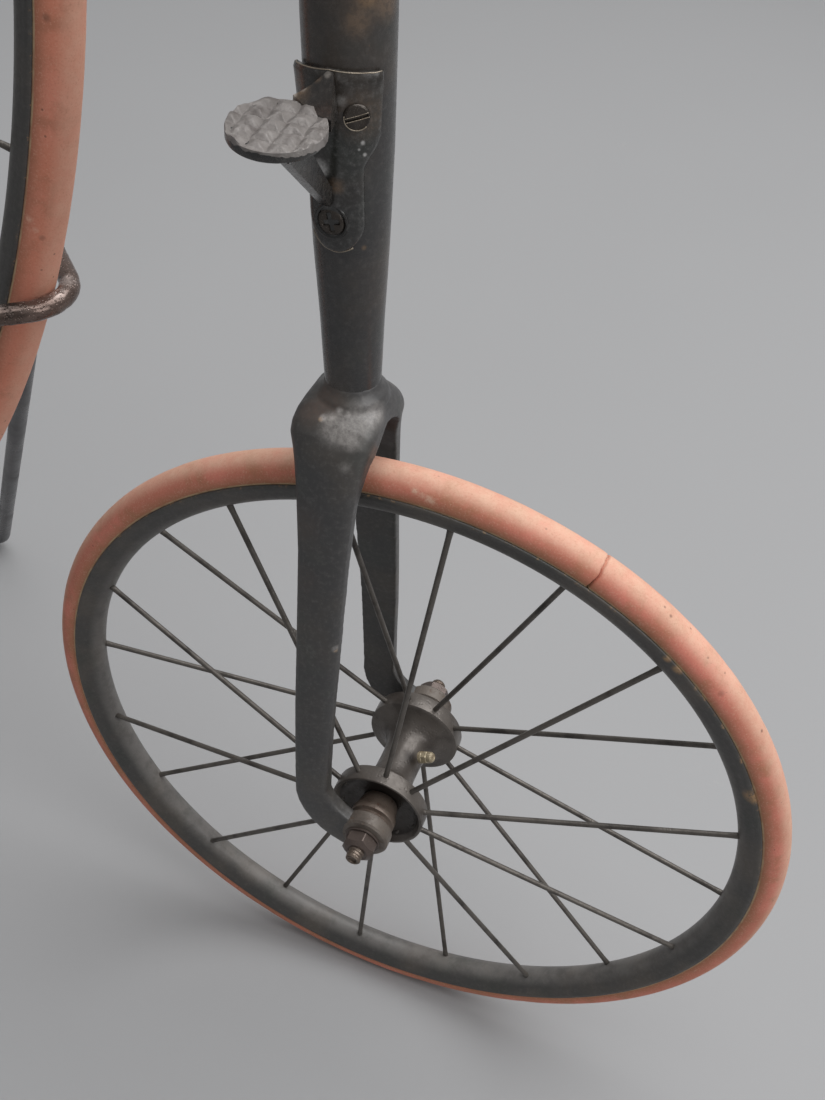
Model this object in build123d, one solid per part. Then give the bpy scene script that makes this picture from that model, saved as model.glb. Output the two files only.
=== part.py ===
from build123d import *
import os
from math import atan2, cos, degrees, hypot, radians, sin, sqrt, tan

# High wheel bicycle with its wheel stand. Millimetres, +X forward, +Y left, +Z up, floor at z = 0.
# The origin is on the floor, midway between the front of the front tyre and the back of the rear tyre.

# Bent rods
bend_room = 0.45

# Wheels
front_radius = 685.8
rear_radius = 215.9
tyre_gap = 64.6
front_tyre_radius = 11.3
rear_tyre_radius = 9.5
tyre_seat_clearance = 0.1
front_rim_depth = 28.0
rear_rim_depth = 26.5
rim_lip = 0.6
rim_seat_below_centre = 3.4
rim_nose_radius = 6.0
spoke_radius = 1.5
spoke_hold = 5.0
spoke_rim_offset = 2.5
spoke_rim_hold = 2.0
front_spoke_count = 60
rear_spoke_count = 20
front_spoke_phase = -166.9
rear_spoke_phase = 57.14

# Rear hub, on a fixed axle held by the fork ends
rear_flange_radius = 26.5
rear_flange_inner = 23.5
rear_flange_outer = 33.5
rear_barrel_waist = 11.5
rear_barrel_flare = 18.0
rear_waist_run = 0.55
rear_waist_swell = 1.08
rear_dish_radius = 16.5
rear_dish_lip = 6.0
rear_dish_depth = 6.5
rear_axle_radius = 6.5
rear_axle_thread_radius = 4.6
rear_axle_half = 67.5
rear_axle_tip_radius = 4.3
rear_axle_tip_length = 5.0
running_clearance = 0.05
cone_gap = 0.6
cone_radius = 12.6
cone_small_radius = 10.8
rear_oiler_radius = 3.8
rear_oiler_length = 10.0
rear_oiler_y = -7.0
rear_oiler_sink = 1.0
rear_oiler_angle = 152.0

# Rear fork
rear_eye_inner = 44.0
rear_eye_thickness = 9.0
rear_eye_radius = 13.8
washer_thickness = 1.2
washer_radius = 10.4
nut_height = 8.0
nut_across_flats = 16.4
crown_x = 44.0
crown_half_length = 18.0
crown_base_z = 226.0
crown_top_z = 252.8
crown_half_width = 30.0
crown_corner_radius = 24.0
crown_inner_half_width = 16.5
crown_arch_rise = 11.0
crown_round_from = 240.0
crown_fillet = 5.5
blade_edge = 3.2
hook_belly = (32.4, -1.0)
hook_throat = (15.4, 13.9)
hook_toe_x = 4.0
hook_toe_z = 8.0

# Backbone
backbone_foot = (43.1, 249.0)
backbone_bend = (54.3, 408.0)
backbone_radius = 17.5
neck_length = 42.0
neck_end_radius = 12.0
neck_spindle_radius = 11.0
neck_pin_radius = 6.0
neck_shoulder_gap = 1.0
pin_end_gap = 0.5

# Steering head and front fork, measured in the fork's own frame:
# u forward, y left, w up the steering axis from the front axle
rake = 4.0
neck_above_tyre = 89.2
head_radius = 23.0
head_wall = 6.5
head_half_opening = 32.0
head_jaw = 18.0
head_wall_half_angle = 62.0
head_nut_radius = 15.0
head_nut_height = 9.0
fork_crown_above_tyre = 12.2
fork_crown_half_length = 17.0
fork_crown_half_width = 36.0
fork_crown_inner = 19.0
fork_crown_round = 0.45
fork_throat_depth = 4.0
fork_foot_sink = 6.0
fork_blade_sink = 8.0
fork_shoulder_drop = 98.0
fork_waist_drop = 398.0

# Front hub, axle and cranks
front_flange_radius = 62.0
front_flange_inner = 38.0
front_flange_outer = 46.0
front_barrel_radius = 19.0
front_flare_run = 10.0
front_flare_rise = 9.0
front_boss_rise = 6.0
front_collar_rise = 4.0
front_collar_length = 3.0
front_axle_radius = 11.0
front_axle_half = 92.0
bearing_inner = 51.0
bearing_outer = 69.0
bearing_radius = 25.0
crank_inner = 75.0
crank_thickness = 14.0
crank_length = 140.0
crank_eye_radius = 19.0
crank_tip_radius = 13.0

# Pedals
pedal_pin_radius = 6.0
pedal_pin_overhang = 3.0
pedal_gap = 5.5
pedal_width = 88.0
pedal_barrel_radius = 10.0
pedal_plate_thickness = 3.0
pedal_plate_half = 42.0
pedal_plate_radius = 14.0
pedal_block_size = 24.0
pedal_block_offset = 28.0

# Handlebar and brake, measured from the middle of the neck
bar_radius = 9.0
bar_forward = 32.0
bar_above_neck = 1.0
bar_lug_radius = 16.0
bar_lug_half = 24.0
bar_shoulder_y = 75.0
bar_reach_y = 236.0
bar_reach_sweep = 28.0
bar_reach_drop = 30.0
bar_end_y = 322.0
bar_end_sweep = 80.0
bar_end_drop = 82.0
bar_bend_radius = 60.0
grip_length = 80.0
grip_overhang = 4.0
brake_clearance = 6.0
brake_spoon_thickness = 3.0
brake_spoon_half_width = 10.0
brake_spoon_start = 4.0
brake_spoon_end = 13.0
brake_rod_radius = 4.0
brake_rod_gap = 6.0
brake_weld_depth = 1.0
brake_lug_forward = 36.0
brake_lug_above_base = 13.0
brake_lug_radius = 7.0
brake_lug_half = 9.0
brake_lever_short = 22.0

# Saddle
saddle_spring_width = 26.0
saddle_spring_thickness = 4.0
saddle_spring_rise = 26.0
saddle_spring_slope = 55.0
saddle_front_angle = 1.2
saddle_tail_angle = 17.0
saddle_tail_lift = 22.0
saddle_tail_overhang = 18.0
saddle_spring_bends = (40.0, 80.0, 22.0)
saddle_nose_forward = 12.0
saddle_rail_thickness = 4.0
saddle_rail_width = 22.0
saddle_riser_length = 22.0
saddle_leather = 6.0
saddle_edge_share = 0.7
saddle_leather_gap = 0.3
saddle_height = 14.0
saddle_cantle_thickness = 3.0
saddle_cantle_share = 0.8
saddle_nose_clearance = 2.0
saddle_weld_depth = 1.0

# Mounting step, on the left of the backbone
strap_thickness = 2.5
strap_top_rise = 10.0
strap_corner_drop = 4.0
strap_shoulder_drop = 13.0
strap_waist_drop = 27.0
strap_half_width = 18.6
tongue_half_width = 12.5
step_heading = 80.6
tread_top = 385.0
tread_thickness = 5.5
tread_reach = 46.1
tread_turn = 101.6
tread_length = 42.2
tread_width = 35.0
tread_neck_width = 14.0
tread_neck_run = 8.0
tread_neck_drop = 1.0
brace_heading = 92.5
brace_thickness = 4.4
brace_top_reach = 60.0
brace_top_width = 14.0
brace_drop = 35.5
brace_foot_height = 8.2
step_screw_radius = 5.5
step_screw_height = 2.0
step_screw_sink = 0.8
upper_screw_drop = 5.3
upper_screw_heading = 120.0
lower_screw_drop = 7.0
lower_screw_heading = 88.0

# Wheel stand: one bent rod round the back of the front tyre, two legs and a floor frame
stand_rod_radius = 5.0
stand_leg_radius = 6.0
stand_loop_height = 466.0
stand_clearance = 0.4
stand_loop_bend = 22.4
stand_arm_angle = 43.7
stand_shoulder_y = 50.6
stand_leg_run = 221.4
stand_foot_y = 232.4
stand_floor_run = 723.3
stand_front_y = 205.0
stand_shoulder_bend = 16.0
stand_foot_bend = 30.0
stand_front_bend = 60.0
stand_weld_share = 0.13

# Places worked out from the sizes above
axle_rise = front_radius - rear_radius
axle_run = sqrt((front_radius + rear_radius + tyre_gap) ** 2 - axle_rise ** 2)
overall_length = axle_run + front_radius + rear_radius
rear_axle = Vector(rear_radius - overall_length / 2, 0, rear_radius)
front_axle = Vector(overall_length / 2 - front_radius, 0, front_radius)
neck_w = front_radius + neck_above_tyre
head_base = neck_w - head_half_opening - head_jaw
fork_crown_base = front_radius + fork_crown_above_tyre
fork_crown_height = head_base - fork_crown_base
bar_w = neck_w + bar_above_neck
brake_lug_w = head_base + brake_lug_above_base
tread_base = tread_top - tread_thickness
brace_foot = tread_base - brace_drop
lower_screw_z = brace_foot - lower_screw_drop
strap_top = tread_top + strap_top_rise
strap_bottom = lower_screw_z - tongue_half_width
rear_place = Location(rear_axle)
front_place = Location(front_axle)
fork_plane = Plane(
    origin=front_axle,
    x_dir=(cos(radians(rake)), 0, sin(radians(rake))),
    z_dir=(-sin(radians(rake)), 0, cos(radians(rake))),
)
sides = (("left", 1), ("right", -1))
UP_FROM_BASE = (Align.CENTER, Align.CENTER, Align.MIN)


def bar(start, end, radius):
    """Round bar from one point to another."""
    run = Vector(end) - Vector(start)
    return Plane(origin=start, z_dir=run) * Cylinder(radius, run.length, align=UP_FROM_BASE)


def cross_bar(radius, y_low, y_high, x=0, z=0):
    """Round bar along Y."""
    return bar((x, y_low, z), (x, y_high, z), radius)


def bent_rod(points, radius, bends):
    """Round rod along straight runs joined by tangent arcs."""
    path = FilletPolyline(*points, radius=eased_bends(points, bends))
    return sweep(Plane(origin=path @ 0, z_dir=path % 0) * Circle(radius), path=path)


def eased_bends(points, wanted):
    """Bend radii for a path: the wanted ones, or less where two runs are too short for them."""
    radii = []
    for before, corner, after, wish in zip(points, points[1:], points[2:], wanted):
        inward, outward = Vector(corner) - Vector(before), Vector(after) - Vector(corner)
        half_turn = radians(inward.get_angle(outward) / 2)
        room = bend_room * min(inward.length, outward.length) * cos(half_turn) / sin(half_turn)
        radii.append(min(wish, room))
    return radii


def turned(profile):
    """Solid turned about the Y axis from a closed outline of (y, radius) points."""
    outline = Polyline(*[(radius, y) for y, radius in profile], close=True)
    return revolve(make_face(outline), axis=Axis.Y, revolution_arc=360)


def spoke_set(count, phase, flange_radius, flange_y, rim_inner_radius):
    """Radial spokes screwed into the flange edges by turns, left then right."""
    spokes = []
    for number in range(count):
        angle = radians(phase - number * 360 / count)
        side = 1 if number % 2 == 0 else -1
        inner = flange_radius - spoke_hold
        start = (inner * cos(angle), side * flange_y, inner * sin(angle))
        end = (rim_inner_radius * cos(angle), side * spoke_rim_offset, rim_inner_radius * sin(angle))
        spokes.append(bar(start, end, spoke_radius))
    return Compound(children=spokes)


def tyre_and_rim(wheel_radius, tyre_radius, rim_depth):
    """Solid round tyre and the deep U rim that it sits in, about the Y axis."""
    centre = wheel_radius - tyre_radius
    tyre = Rot(90, 0, 0) * Torus(centre, tyre_radius)
    lip_radius = centre - rim_seat_below_centre
    lip_half = tyre_radius + rim_lip
    base_radius = wheel_radius - rim_depth
    half_nose = lip_half - rim_nose_radius / 2
    section = Polyline(
        (lip_radius, -lip_half),
        (base_radius + rim_nose_radius, -half_nose),
        (base_radius, -half_nose + rim_nose_radius),
        (base_radius, half_nose - rim_nose_radius),
        (base_radius + rim_nose_radius, half_nose),
        (lip_radius, lip_half),
        close=True,
    )
    seat = Pos(centre, 0) * Circle(tyre_radius + tyre_seat_clearance)
    rim = revolve(make_face(section) - seat, axis=Axis.Y, revolution_arc=360)
    return tyre, rim, base_radius


def rear_hub():
    """Spool hub with dished flanges, bored for the fixed axle."""
    half = [
        (0.0, rear_barrel_waist),
        (rear_flange_inner * rear_waist_run, rear_barrel_waist * rear_waist_swell),
        (rear_flange_inner, rear_barrel_flare),
        (rear_flange_inner, rear_flange_radius),
        (rear_flange_outer, rear_flange_radius),
        (rear_flange_outer, rear_dish_radius + rear_dish_lip),
        (rear_flange_outer - rear_dish_depth, rear_dish_radius),
    ]
    bore = rear_axle_radius + running_clearance
    outer = [(-y, radius) for y, radius in reversed(half)] + half[1:]
    profile = [(-half[-1][0], bore)] + outer + [(half[-1][0], bore)]
    return turned(profile)


def rear_axle_set():
    """Fixed rear axle, with the bearing cones, washers and hexagon nuts on its two ends."""
    cone_inner = rear_flange_outer - rear_dish_depth + cone_gap
    eye_outer = rear_eye_inner + rear_eye_thickness
    axle = cross_bar(rear_axle_radius, -cone_inner, cone_inner)
    cones, nuts = [], []
    for _, side in sides:
        tip_foot = side * (rear_axle_half - rear_axle_tip_length)
        axle += cross_bar(rear_axle_thread_radius, *sorted((0, tip_foot)))
        axle += cross_bar(rear_axle_tip_radius, *sorted((tip_foot, side * rear_axle_half)))
        cone = turned([
            (side * cone_inner, rear_axle_thread_radius),
            (side * cone_inner, cone_small_radius),
            (side * rear_flange_outer, cone_radius),
            (side * rear_eye_inner, cone_radius),
            (side * rear_eye_inner, rear_axle_thread_radius),
        ])
        cones.append(cone)
        washer = cross_bar(washer_radius, *sorted((side * eye_outer, side * (eye_outer + washer_thickness))))
        nut_face = side * (eye_outer + washer_thickness)
        hexagon = Plane(origin=(0, nut_face, 0), z_dir=(0, side, 0)) * RegularPolygon(
            nut_across_flats / 2, 6, major_radius=False)
        nut = extrude(hexagon, nut_height, dir=(0, side, 0))
        hole = cross_bar(rear_axle_thread_radius, -rear_axle_half, rear_axle_half)
        nuts.append(washer + nut - hole)
    return axle, Compound(children=cones), Compound(children=nuts)


# Rear fork blades from the crown down: x and y of the middle, height, width along X, thickness
rear_blade_sections = (
    (43.6, 24.2, 232.0, 33.4, 11.6),
    (42.1, 28.6, 205.0, 27.9, 10.2),
    (38.6, 36.9, 147.0, 23.0, 9.2),
    (35.3, 45.2, 83.0, 20.6, 8.8),
    (32.4, 48.5, 25.0, 18.8, 9.0),
)


def rear_fork():
    """Forged rear fork: arched crown over the tyre, two broad blades and hooked ends."""
    arch = FilletPolyline(
        (-crown_half_width, crown_base_z),
        (-crown_half_width, crown_top_z),
        (crown_half_width, crown_top_z),
        (crown_half_width, crown_base_z),
        radius=crown_corner_radius,
    )
    under = ThreePointArc(
        (crown_inner_half_width, crown_base_z),
        (0, crown_base_z + crown_arch_rise),
        (-crown_inner_half_width, crown_base_z),
    )
    feet = [Line((side * crown_inner_half_width, crown_base_z), (side * crown_half_width, crown_base_z))
            for _, side in sides]
    plane = Plane(origin=(crown_x - crown_half_length, 0, 0), x_dir=(0, 1, 0), z_dir=(1, 0, 0))
    fork = extrude(plane * make_face([*arch.edges(), under, *feet]), 2 * crown_half_length, dir=(1, 0, 0))
    rims = fork.faces().sort_by(Axis.X)
    outer = [edge for rim in (rims[0], rims[-1]) for edge in rim.edges() if edge.center().Z > crown_round_from]
    fork = chamfer(outer, crown_fillet)
    for _, side in sides:
        sections = []
        for x, y, z, width, thick in rear_blade_sections:
            plane = Plane(origin=(x, side * (y - thick / 2), z), x_dir=(side, 0, 0), z_dir=(0, 0, 1))
            sections.append(plane * blade_section(width, thick))
        fork += loft(sections, ruled=True)
        fork += rear_fork_end(side)
    return fork


def blade_section(width, thickness):
    """Blade outline: flat inside, thin edges and a rounded outer face."""
    half = width / 2
    return make_face([
        Line((-half, 0), (half, 0)),
        Line((half, 0), (half, blade_edge)),
        ThreePointArc((half, blade_edge), (0, thickness), (-half, blade_edge)),
        Line((-half, blade_edge), (-half, 0)),
    ]).face()


def rear_fork_end(side):
    """Hooked blade end, from the lowest blade section back to the eye round the axle."""
    x, _, z, width, _ = rear_blade_sections[-1]
    front, back = x + width / 2, x - width / 2
    edge = make_face([
        Line((back, z), (front, z)),
        ThreePointArc((front, z), hook_belly, (hook_toe_x, -rear_eye_radius)),
        Line((hook_toe_x, -rear_eye_radius), (hook_toe_x, hook_toe_z)),
        ThreePointArc((hook_toe_x, hook_toe_z), hook_throat, (back, z)),
    ])
    plane = Plane(origin=(0, side * rear_eye_inner, 0), x_dir=(1, 0, 0), z_dir=(0, -1, 0))
    end = extrude(plane * edge, rear_eye_thickness, dir=(0, side, 0))
    outer = side * (rear_eye_inner + rear_eye_thickness)
    end += cross_bar(rear_eye_radius, *sorted((side * rear_eye_inner, outer)))
    return end - cross_bar(rear_axle_thread_radius, -rear_axle_half, rear_axle_half)


# Backbone taper between the crown and the bend: share of the straight run, radius
backbone_taper = (
    (0.0, 12.1),
    (0.24, 13.6),
    (0.45, 15.4),
    (0.70, 16.8),
    (1.0, backbone_radius),
)


def fork_point(u, w):
    """Point of the fork's middle plane, seen from the rear axle."""
    offset = fork_plane.from_local_coords(Vector(u, 0, w)) - rear_axle
    return offset.X, offset.Z


# The bend is one arc, tangent to the straight run, that ends at the back of the neck
neck_back = fork_point(-neck_length, neck_w)
run_length = hypot(backbone_bend[0] - backbone_foot[0], backbone_bend[1] - backbone_foot[1])
run_dir = (
    (backbone_bend[0] - backbone_foot[0]) / run_length,
    (backbone_bend[1] - backbone_foot[1]) / run_length,
)
chord = (neck_back[0] - backbone_bend[0], neck_back[1] - backbone_bend[1])
bend_radius = (chord[0] ** 2 + chord[1] ** 2) / (2 * (run_dir[1] * chord[0] - run_dir[0] * chord[1]))
bend_centre = (backbone_bend[0] + bend_radius * run_dir[1], backbone_bend[1] - bend_radius * run_dir[0])
neck_angle = degrees(atan2(neck_back[1] - bend_centre[1], neck_back[0] - bend_centre[0]))


def bend_point(back_angle, height=0.0):
    """Point on the bend, at an angle back from the neck and a height off its middle line."""
    angle = radians(neck_angle + back_angle)
    reach = bend_radius + height
    return bend_centre[0] + reach * cos(angle), bend_centre[1] + reach * sin(angle)


def backbone():
    """Tapered tube from the rear crown up, and round behind the front wheel to the neck."""
    sections = []
    for share, radius in backbone_taper:
        x = backbone_foot[0] + share * run_length * run_dir[0]
        z = backbone_foot[1] + share * run_length * run_dir[1]
        plane = Plane(origin=(x, 0, z), z_dir=(run_dir[0], 0, run_dir[1]))
        sections.append((plane * Circle(radius)).face())
    middle = bend_point((degrees(atan2(run_dir[0], run_dir[1])) + 180 - neck_angle) / 2)
    path = ThreePointArc(
        (backbone_bend[0], 0, backbone_bend[1]),
        (middle[0], 0, middle[1]),
        (neck_back[0], 0, neck_back[1]),
    )
    upper = sweep(Plane(origin=path @ 0, z_dir=path % 0) * Circle(backbone_radius), path=path)
    return loft(sections) + upper


def neck():
    """Lug on the backbone's end with the steering spindle that turns in the head."""
    end = Vector(neck_back[0], 0, neck_back[1])
    heading = Vector(sin(radians(neck_angle)), 0, -cos(radians(neck_angle)))
    top = fork_point(0, neck_w)
    target = Vector(top[0], 0, top[1])
    lug = loft([
        (Plane(origin=end, z_dir=heading) * Circle(backbone_radius)).face(),
        (Plane(origin=target, z_dir=target - end) * Circle(neck_end_radius)).face(),
    ], ruled=True)
    half = head_half_opening - neck_shoulder_gap
    spindle = Pos(0, 0, neck_w - half) * Cylinder(neck_spindle_radius, 2 * half, align=UP_FROM_BASE)
    pin_half = head_half_opening + head_jaw - pin_end_gap
    spindle += Pos(0, 0, neck_w - pin_half) * Cylinder(neck_pin_radius, 2 * pin_half, align=UP_FROM_BASE)
    return lug + spindle.moved(rear_place.inverse() * fork_plane.location)


def head():
    """Open head: lower and upper jaws joined by a front wall, with the handlebar lug."""
    low = head_base
    height = 2 * (head_half_opening + head_jaw)
    body = Pos(0, 0, low) * Cylinder(head_radius, height, align=UP_FROM_BASE)
    body += cross_bar(bar_lug_radius, -bar_lug_half, bar_lug_half, bar_forward, bar_w)
    body += cross_bar(brake_lug_radius, -brake_lug_half, brake_lug_half, brake_lug_forward, brake_lug_w)
    body += Pos(brake_lug_forward / 2, 0, brake_lug_w) * Box(
        brake_lug_forward, 2 * brake_lug_half, 2 * brake_lug_radius)
    room = Pos(0, 0, neck_w) * Cylinder(head_radius - head_wall, 2 * head_half_opening)
    reach = 3 * head_radius
    spread = reach * sin(radians(head_wall_half_angle)) / cos(radians(head_wall_half_angle))
    rear_cut = make_face(Polyline((0, 0), (reach, spread), (reach, reach + spread), (-reach, reach + spread),
                                  (-reach, -reach - spread), (reach, -reach - spread), (reach, -spread), close=True))
    body -= room
    body -= Pos(0, 0, neck_w - head_half_opening) * extrude(rear_cut, 2 * head_half_opening)
    body -= Pos(0, 0, low) * Cylinder(neck_pin_radius + running_clearance, height, align=UP_FROM_BASE)
    cap = Pos(0, 0, low + height) * extrude(RegularPolygon(head_nut_radius, 6), head_nut_height)
    return body + cap - cross_bar(bar_radius + running_clearance, -bar_lug_half, bar_lug_half, bar_forward, bar_w)


# Front fork blades from the crown down: height up the axis, y of the middle, width, thickness
front_blade_sections = (
    (fork_crown_base + fork_blade_sink, 27.5, 32.0, 15.0),
    (fork_crown_base - fork_shoulder_drop, 33.0, 31.0, 14.0),
    (fork_crown_base - fork_waist_drop, 47.5, 27.0, 13.0),
    (bearing_radius - fork_foot_sink, 59.5, 23.0, 12.0),
)


def front_fork():
    """Front fork: crown over the tyre, two oval blades and round bearing boxes."""
    crown = Pos(0, 0, fork_crown_base) * Box(
        2 * fork_crown_half_length, 2 * fork_crown_half_width, fork_crown_height, align=UP_FROM_BASE)
    crown = fillet(crown.edges().filter_by(Axis.X).group_by(Axis.Z)[-1], fork_crown_height * fork_crown_round)
    fork = crown
    for _, side in sides:
        sections = [
            Pos(0, side * y, w) * SlotOverall(width, thick) for w, y, width, thick in front_blade_sections
        ]
        fork += loft([section.face() for section in sections], ruled=True)
        fork += cross_bar(bearing_radius, *sorted((side * bearing_inner, side * bearing_outer)))
    fork -= Box(4 * fork_crown_half_length, 2 * fork_crown_inner, 2 * (fork_crown_base + fork_throat_depth))
    bore = front_axle_radius + running_clearance
    return fork - cross_bar(bore, -bearing_outer, bearing_outer)


def front_hub():
    """Front hub with two large flanges and the live axle that carries the cranks."""
    half = [
        (0.0, front_barrel_radius),
        (front_flange_inner - front_flare_run, front_barrel_radius),
        (front_flange_inner, front_barrel_radius + front_flare_rise),
        (front_flange_inner, front_flange_radius),
        (front_flange_outer, front_flange_radius),
        (front_flange_outer, front_axle_radius + front_boss_rise),
        (front_flange_outer + front_collar_length, front_axle_radius + front_collar_rise),
        (front_flange_outer + front_collar_length, front_axle_radius),
        (front_axle_half, front_axle_radius),
    ]
    outer = [(-y, radius) for y, radius in reversed(half)] + half[1:]
    return turned([(-front_axle_half, 0)] + outer + [(front_axle_half, 0)])


def crank(side):
    """Tapered crank arm keyed on the axle, hanging down on the left and up on the right."""
    inner = side * crank_inner
    arm = make_hull([
        *Circle(crank_eye_radius).edges(),
        *(Pos(0, -side * crank_length) * Circle(crank_tip_radius)).edges(),
    ])
    plane = Plane(origin=(0, inner, 0), x_dir=(1, 0, 0), z_dir=(0, -1, 0))
    solid = extrude(plane * arm, crank_thickness, dir=(0, side, 0))
    outer = inner + side * crank_thickness
    return solid - cross_bar(front_axle_radius, *sorted((0, outer + side)))


def pedal_pin(side):
    """Fixed pedal pin, from the crank's tip outwards."""
    z_pin = -side * crank_length
    start = side * (crank_inner + crank_thickness)
    end = side * (crank_inner + crank_thickness + pedal_gap + pedal_width + pedal_pin_overhang)
    return cross_bar(pedal_pin_radius, *sorted((start, end)), z=z_pin)


def pedal_frame(side):
    """Pedal barrel on the pin with a plate at each end."""
    z_pin = -side * crank_length
    start = side * (crank_inner + crank_thickness + pedal_gap)
    end = start + side * pedal_width
    frame = cross_bar(pedal_barrel_radius, *sorted((start, end)), z=z_pin)
    for edge, inward in ((start, side), (end, -side)):
        plate = Plane(origin=(0, edge, z_pin), x_dir=(1, 0, 0), z_dir=(0, -1, 0)) * SlotOverall(
            2 * pedal_plate_half, 2 * pedal_plate_radius)
        frame += extrude(plate, pedal_plate_thickness, dir=(0, inward, 0))
    bore = pedal_pin_radius + running_clearance
    return frame - cross_bar(bore, *sorted((start - side, end + side)), z=z_pin)


def pedal_rubbers(side):
    """Two square rubber blocks between the pedal's plates."""
    z_pin = -side * crank_length
    middle = side * (crank_inner + crank_thickness + pedal_gap + pedal_width / 2)
    length = pedal_width - 2 * pedal_plate_thickness
    block = Box(pedal_block_size, length, pedal_block_size)
    return Compound(children=[
        Pos(offset, middle, z_pin) * block for offset in (-pedal_block_offset, pedal_block_offset)
    ])


def bar_side(side):
    """Corners of one half of the handlebar: shoulder, reach and end."""
    return (
        Vector(bar_forward, side * bar_shoulder_y, bar_w),
        Vector(bar_forward - bar_reach_sweep, side * bar_reach_y, bar_w - bar_reach_drop),
        Vector(bar_forward - bar_end_sweep, side * bar_end_y, bar_w - bar_end_drop),
    )


def handlebar():
    """Handlebar through the head's lug, swept down and back to both grips."""
    points = [*reversed(bar_side(-1)), *bar_side(1)]
    return bent_rod(points, bar_radius, [bar_bend_radius] * 4)


# Grip from its outer end inwards: share of the length, radius
grip_profile = (
    (0.0, 11.2),
    (0.2, 16.0),
    (0.45, 15.2),
    (0.85, 11.5),
    (1.0, 12.6),
)


def grip(side):
    """Swelling grip on the end of the handlebar."""
    _, reach, end = bar_side(side)
    inward = (reach - end).normalized()
    start = end - inward * grip_overhang
    outline = Polyline(
        (0, 0), *[(radius, share * grip_length) for share, radius in grip_profile], (0, grip_length), close=True)
    grip_solid = revolve(Plane.XZ * make_face(outline), axis=Axis.Z, revolution_arc=360)
    grip_solid = Plane(origin=start, z_dir=inward) * grip_solid
    return grip_solid - bar(end, end + inward * 2 * grip_length, bar_radius + running_clearance)


def brake_spoon():
    """Spoon brake: a curved shoe over the tyre on an arm hung from the head."""
    inner = front_radius + brake_clearance
    low, high = radians(brake_spoon_start), radians(brake_spoon_end)
    outer = inner + brake_spoon_thickness
    middle = (low + high) / 2
    shoe = make_face([
        ThreePointArc(*[(inner * sin(a), inner * cos(a)) for a in (low, middle, high)]),
        Line((inner * sin(high), inner * cos(high)), (outer * sin(high), outer * cos(high))),
        ThreePointArc(*[(outer * sin(a), outer * cos(a)) for a in (high, middle, low)]),
        Line((outer * sin(low), outer * cos(low)), (inner * sin(low), inner * cos(low))),
    ])
    plane = Plane(origin=(0, brake_spoon_half_width, 0), x_dir=(1, 0, 0), z_dir=(0, -1, 0))
    spoon = extrude(plane * shoe, 2 * brake_spoon_half_width, dir=(0, -1, 0))
    weld = outer - brake_weld_depth
    tip = (weld * sin(middle), 0, weld * cos(middle))
    return spoon + bar((brake_lug_forward, 0, brake_lug_w), tip, brake_rod_radius)


def brake_lever():
    """Brake lever under the right half of the handlebar, down to the spoon's arm."""
    drop = bar_radius + brake_rod_gap + brake_rod_radius
    shoulder, reach, _ = bar_side(-1)
    points = [
        (brake_lug_forward + brake_lug_radius, -brake_lug_half, brake_lug_w),
        (brake_lug_forward + 2 * brake_lug_radius, -bar_shoulder_y / 2, bar_w - drop),
        (shoulder.X, shoulder.Y, shoulder.Z - drop),
        (reach.X, reach.Y + brake_lever_short, reach.Z - drop),
    ]
    return bent_rod(points, brake_rod_radius, [3 * brake_rod_radius] * 2)


def saddle_spring_points():
    """Corners of the leaf spring's middle line, from the neck back and down to its tail rest."""
    front = bend_point(saddle_front_angle, backbone_radius + saddle_spring_thickness / 2)
    tail = bend_point(saddle_tail_angle, backbone_radius + saddle_spring_thickness / 2)
    top = front[1] + saddle_spring_rise
    return [
        (front[0], 0, front[1]),
        (front[0] - saddle_spring_slope, 0, top),
        (front[0] - saddle_sections[-1][0], 0, top),
        (tail[0] - saddle_tail_overhang, 0, tail[1] + saddle_tail_lift),
        (tail[0], 0, tail[1]),
    ]


def saddle_spring():
    """Leaf spring from the neck back over the backbone, curled down to a tail rest on it."""
    points = saddle_spring_points()
    path = FilletPolyline(*points, radius=eased_bends(points, saddle_spring_bends))
    section = Plane(origin=path @ 0, x_dir=(0, 1, 0), z_dir=path % 0) * Rectangle(
        saddle_spring_width, saddle_spring_thickness)
    return sweep(section, path=path)


# Saddle leather from nose to cantle: distance back, half width, height, drop of the sides
saddle_sections = (
    (0.0, 19.0, 4.0, 20.0),
    (85.0, 27.0, 0.0, 26.0),
    (165.0, 55.0, -2.0, 24.0),
    (225.0, 90.0, 4.0, 16.0),
    (275.0, 84.0, 12.0, 12.0),
)


def saddle_seat():
    """Nose end and underside of the saddle's rail, on the level part of the spring."""
    _, top, _, _, _ = saddle_spring_points()
    return top[0] + saddle_spring_slope + saddle_nose_forward, top[2] + saddle_spring_thickness / 2


def saddle_top():
    """Saddle leather: an arched sheet, narrow at the nose and broad at the cantle."""
    nose, rail_z = saddle_seat()
    faces = []
    for back, half, height, drop in saddle_sections:
        z = rail_z + saddle_rail_thickness + saddle_height + height
        inner = half - saddle_leather * saddle_edge_share
        plane = Plane(origin=(nose - back, 0, z), x_dir=(0, 1, 0), z_dir=(1, 0, 0))
        faces.append(plane * make_face([
            ThreePointArc((-half, -drop), (0, saddle_leather), (half, -drop)),
            Line((half, -drop), (inner, -drop)),
            ThreePointArc((inner, -drop), (0, 0), (-inner, -drop)),
            Line((-inner, -drop), (-half, -drop)),
        ]))
    return loft([face.face() for face in faces], ruled=True)


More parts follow.
